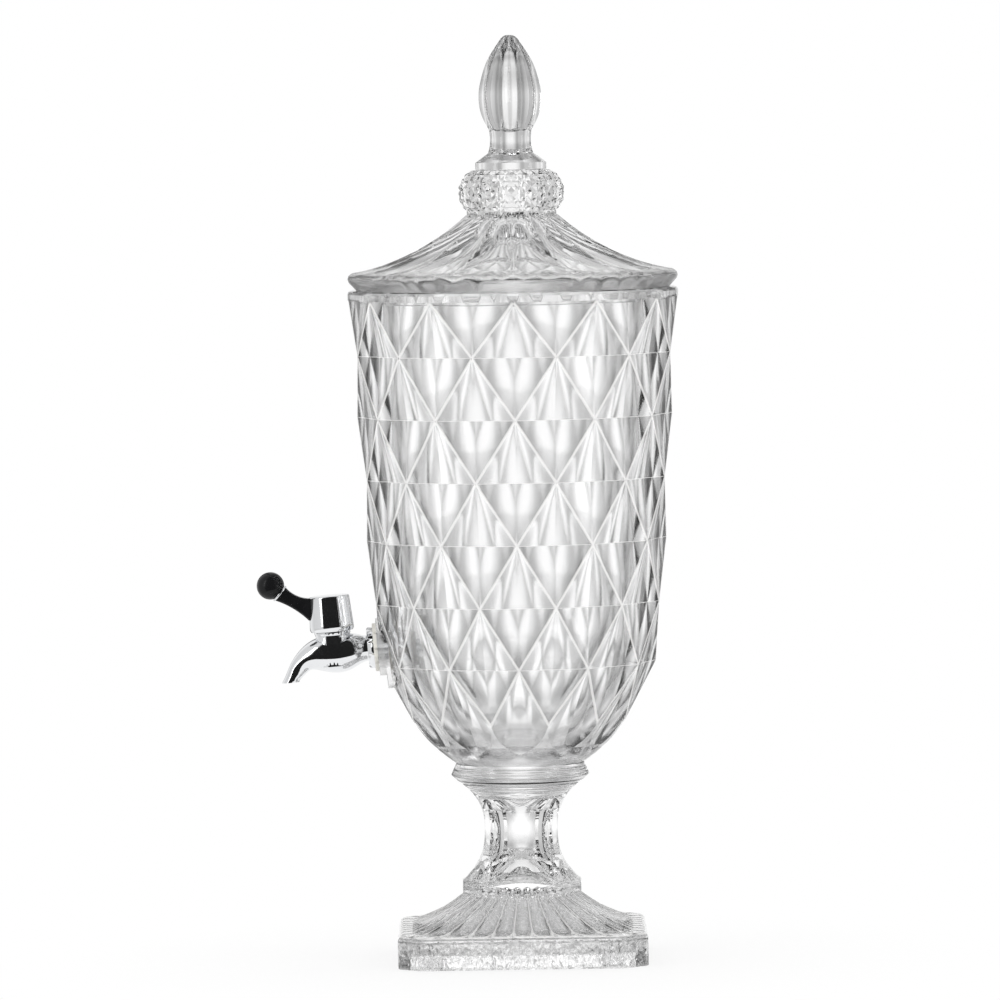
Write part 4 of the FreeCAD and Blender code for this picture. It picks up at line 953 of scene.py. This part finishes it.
def dress(rows):
    """Make a piece for each row of solid, piece, slot and finish."""
    for node, name, slot, material in rows:
        finish(merged_copy(node, name), node, material)


class DISPENSER_OT_tap(bpy.types.Operator):
    """Make the fixed pieces of the tap: the spout, its washers and its nut"""
    bl_idname = "dispenser.tap"
    bl_label = "Tap"

    def execute(self, context):
        dress((
            ("tap_body", "chromed_spout", "chrome", "bright_chrome"),
            ("tap_outer_gasket", "outer_soft_washer", "cream_silicone", "cream_silicone"),
            ("tap_inner_gasket", "inner_soft_washer", "cream_silicone", "cream_silicone"),
            ("tap_washer", "hard_washer", "white_plastic", "white_moulding"),
            ("tap_lock_nut", "hexagon_nut", "white_plastic", "white_moulding"),
            ("plug_retainer", "plug_keeper", "white_plastic", "white_moulding"),
        ))
        for name in ("outer_soft_washer", "inner_soft_washer"):
            thin_down(bpy.data.objects[name], WASHER_SHARE)
        return {"FINISHED"}


class DISPENSER_OT_handle(bpy.types.Operator):
    """Make the turning pieces of the tap: the plug, the hub, the lever and the ball"""
    bl_idname = "dispenser.handle"
    bl_label = "Handle"

    def execute(self, context):
        dress((
            ("valve_plug", "turning_plug", "white_plastic", "white_moulding"),
            ("plug_ring_upper", "upper_seal", "seal_rubber", "black_seal"),
            ("plug_ring_lower", "lower_seal", "seal_rubber", "black_seal"),
            ("handle_hub", "chromed_hub", "chrome", "bright_chrome"),
            ("handle_screw", "hub_screw", "steel", "plain_steel"),
            ("hub_cap", "hub_disc", "chrome", "bright_chrome"),
            ("handle_lever", "lever_arm", "black_gloss", "black_moulding"),
            ("lever_ferrule", "ball_ferrule", "chrome", "bright_chrome"),
            ("lever_ball", "ball_end", "black_gloss", "black_moulding"),
        ))
        return {"FINISHED"}


# Stage

def grey(level):
    """A colour of three equal channels."""
    return (level, level, level)


def grey_ramp(tree, factor, stops):
    """A grey between stops, each a position and a level."""
    return ramp(tree, factor, [(position, grey(level)) for position, level in stops])


def direction_pattern(tree, sides, round_stops, height_stops):
    """Grey levels by direction, the same on each of the object's sides, and by height."""
    along, across, height = split(tree, added(tree, "TexCoord", {}).outputs["Generated"])
    turn = worked(tree, "ARCTAN2", along, across)
    # The middle of the ramp faces the middle of each side
    phase = worked(tree, "FRACT", worked(tree, "MULTIPLY_ADD", turn, sides / (2 * math.pi), 0.5))
    rise = worked(tree, "MULTIPLY_ADD", height, 0.5, 0.5)
    around = grey_ramp(tree, phase, round_stops)
    return vector_worked(tree, "MULTIPLY", around, grey_ramp(tree, rise, height_stops))


def choose(tree, factor, first, second):
    """The second colour or grey level where factor is 1, the first where it is 0."""
    mix = added(tree, "Mix", {"Factor": factor}, data_type="RGBA")
    colours = [number for number, socket in enumerate(mix.inputs) if socket.type == "RGBA"]
    for number, value in zip(colours, (first, second)):
        feed(tree, mix, {number: (*grey(value), 1) if isinstance(value, float) else value})
    return next(socket for socket in mix.outputs if socket.type == "RGBA")


def make_surroundings(look):
    """White where the camera looks, and a soft studio with darker gaps where glass and metal look."""
    world = bpy.data.worlds.new("studio")
    bpy.context.scene.world = world
    world.use_nodes = True
    tree = world.node_tree
    path = added(tree, "LightPath", {})
    through = direction_pattern(tree, GLASS_SIDES, GLASS_SIGHT, GLASS_HEIGHT)
    mirrored = direction_pattern(tree, METAL_SIDES, METAL_SIGHT, METAL_HEIGHT)
    level = choose(tree, path.outputs["Is Glossy Ray"], look.soft_light, mirrored)
    level = choose(tree, path.outputs["Is Transmission Ray"], level, rescaled(tree, through, GLASS_GAIN))
    level = choose(tree, path.outputs["Is Camera Ray"], level, 1.0)
    feed(tree, tree.nodes["Background"], {"Color": level})


def pale_paper():
    """Paper that turns white further out, isn't seen through glass, and far out isn't mirrored."""
    material, tree, shader = new_material("pale_paper")
    feed(tree, shader, {
        "Base Color": (*grey(FLOOR_GREY), 1),
        "Roughness": FLOOR_ROUGH,
        "Specular IOR Level": 0,
    })
    rays = added(tree, "LightPath", {}).outputs
    reach = length_of(tree, own_place(tree))
    white = mapped(tree, reach, FLOOR_FADE, FLOOR_GLOW, interpolation_type="SMOOTHSTEP")
    seen = worked(tree, "MAXIMUM", rays["Is Camera Ray"], rays["Is Glossy Ray"])
    glow = added(tree, "Emission", {}).outputs["Emission"]
    paper = mixed(tree, product(tree, seen, white), shader.outputs["BSDF"], glow)
    mirrored = product(tree, worked(tree, "GREATER_THAN", reach, MIRRORED_FLOOR), rays["Is Glossy Ray"])
    unseen = worked(tree, "MAXIMUM", mirrored, rays["Is Transmission Ray"])
    clear = added(tree, "BsdfTransparent", {}).outputs["BSDF"]
    show(tree, mixed(tree, unseen, paper, clear))
    return material


def make_floor():
    """A pale floor that keeps a soft shadow under the foot and turns white further out."""
    bpy.ops.object.select_all(action="DESELECT")
    bpy.ops.mesh.primitive_circle_add(
        vertices=FLOOR_CORNERS, radius=FLOOR_RADIUS, fill_type="NGON", location=(0, 0, 0))
    floor = bpy.context.object
    floor.name = "pale_floor"
    with editing(floor, "FACE"):
        bpy.ops.mesh.select_all(action="SELECT")
        bpy.ops.mesh.inset(thickness=FLOOR_INSET)
        bpy.ops.mesh.select_all(action="SELECT")
        bpy.ops.transform.translate(value=(0, 0, -FLOOR_DROP))
    floor.data.materials.append(pale_paper())


def make_lamps(look):
    """Two tall soft strips, to the left and the right in front."""
    for name, place in STRIP_PLACES.items():
        lamp = bpy.data.lights.new(name, "AREA")
        lamp.shape = "RECTANGLE"
        lamp.size = STRIP_WIDTH
        lamp.size_y = STRIP_LENGTH
        lamp.energy = look.lamp_power
        stand = bpy.data.objects.new(name, lamp)
        bpy.context.scene.collection.objects.link(stand)
        stand.location = place
        aim = Vector(STRIP_AIM) - Vector(place)
        stand.rotation_euler = aim.to_track_quat("-Z", "Y").to_euler()


def make_camera(look):
    """The photo's point of view: far off, a little above the middle and slightly rolled."""
    lens = bpy.data.cameras.new("camera")
    camera = bpy.data.objects.new("camera", lens)
    bpy.context.scene.collection.objects.link(camera)
    bpy.context.scene.camera = camera
    aim = Vector(CAMERA_AIM)
    side = look.camera_side
    camera.location = (
        aim.x + look.camera_distance * math.sin(side), -look.camera_distance * math.cos(side),
        look.camera_height)
    sight = aim - camera.location
    turn = sight.to_track_quat("-Z", "Y")
    camera.rotation_euler = (turn @ Quaternion((0, 0, 1), -look.camera_roll)).to_euler()
    lens.sensor_width = SENSOR_WIDTH
    lens.lens = SENSOR_WIDTH * sight.length / look.picture_width
    lens.clip_end = CAMERA_REACH


class DISPENSER_OT_stage(bpy.types.Operator):
    """Make the pale floor, the soft light and the camera"""
    bl_idname = "dispenser.stage"
    bl_label = "Stage"

    def execute(self, context):
        look = context.scene.dispenser_stage
        context.scene.view_settings.view_transform = "Standard"
        make_surroundings(look)
        make_floor()
        make_lamps(look)
        make_camera(look)
        return {"FINISHED"}


class DISPENSER_PT_pieces(bpy.types.Panel):
    """Shows the dispenser's operators and its look settings"""
    bl_idname = "DISPENSER_PT_pieces"
    bl_label = "Glass drinks dispenser"
    bl_space_type = "VIEW_3D"
    bl_region_type = "UI"
    bl_category = "Dispenser"

    def draw(self, context):
        for operator in OPERATORS:
            self.layout.operator(operator.bl_idname)
        for name in LOOKS:
            group = getattr(context.scene, name)
            for value in group.bl_rna.properties:
                if value.identifier not in ("rna_type", "name"):
                    self.layout.prop(group, value.identifier)


OPERATORS = (
    DISPENSER_OT_bowl, DISPENSER_OT_pedestal, DISPENSER_OT_lid, DISPENSER_OT_finial, DISPENSER_OT_tap,
    DISPENSER_OT_handle, DISPENSER_OT_stage)
LOOKS = {"dispenser_glass": GlassLook, "dispenser_tap": TapLook, "dispenser_stage": StageLook}


def register():
    for name, group in LOOKS.items():
        bpy.utils.register_class(group)
        setattr(bpy.types.Scene, name, PointerProperty(type=group))
    for operator in OPERATORS:
        bpy.utils.register_class(operator)
    bpy.utils.register_class(DISPENSER_PT_pieces)


def unregister():
    bpy.utils.unregister_class(DISPENSER_PT_pieces)
    for operator in reversed(OPERATORS):
        bpy.utils.unregister_class(operator)
    for name, group in LOOKS.items():
        delattr(bpy.types.Scene, name)
        bpy.utils.unregister_class(group)


def main():
    register()
    for operator in OPERATORS:
        family, name = operator.bl_idname.split(".")
        getattr(getattr(bpy.ops, family), name)()


if __name__ == "__main__":
    main()
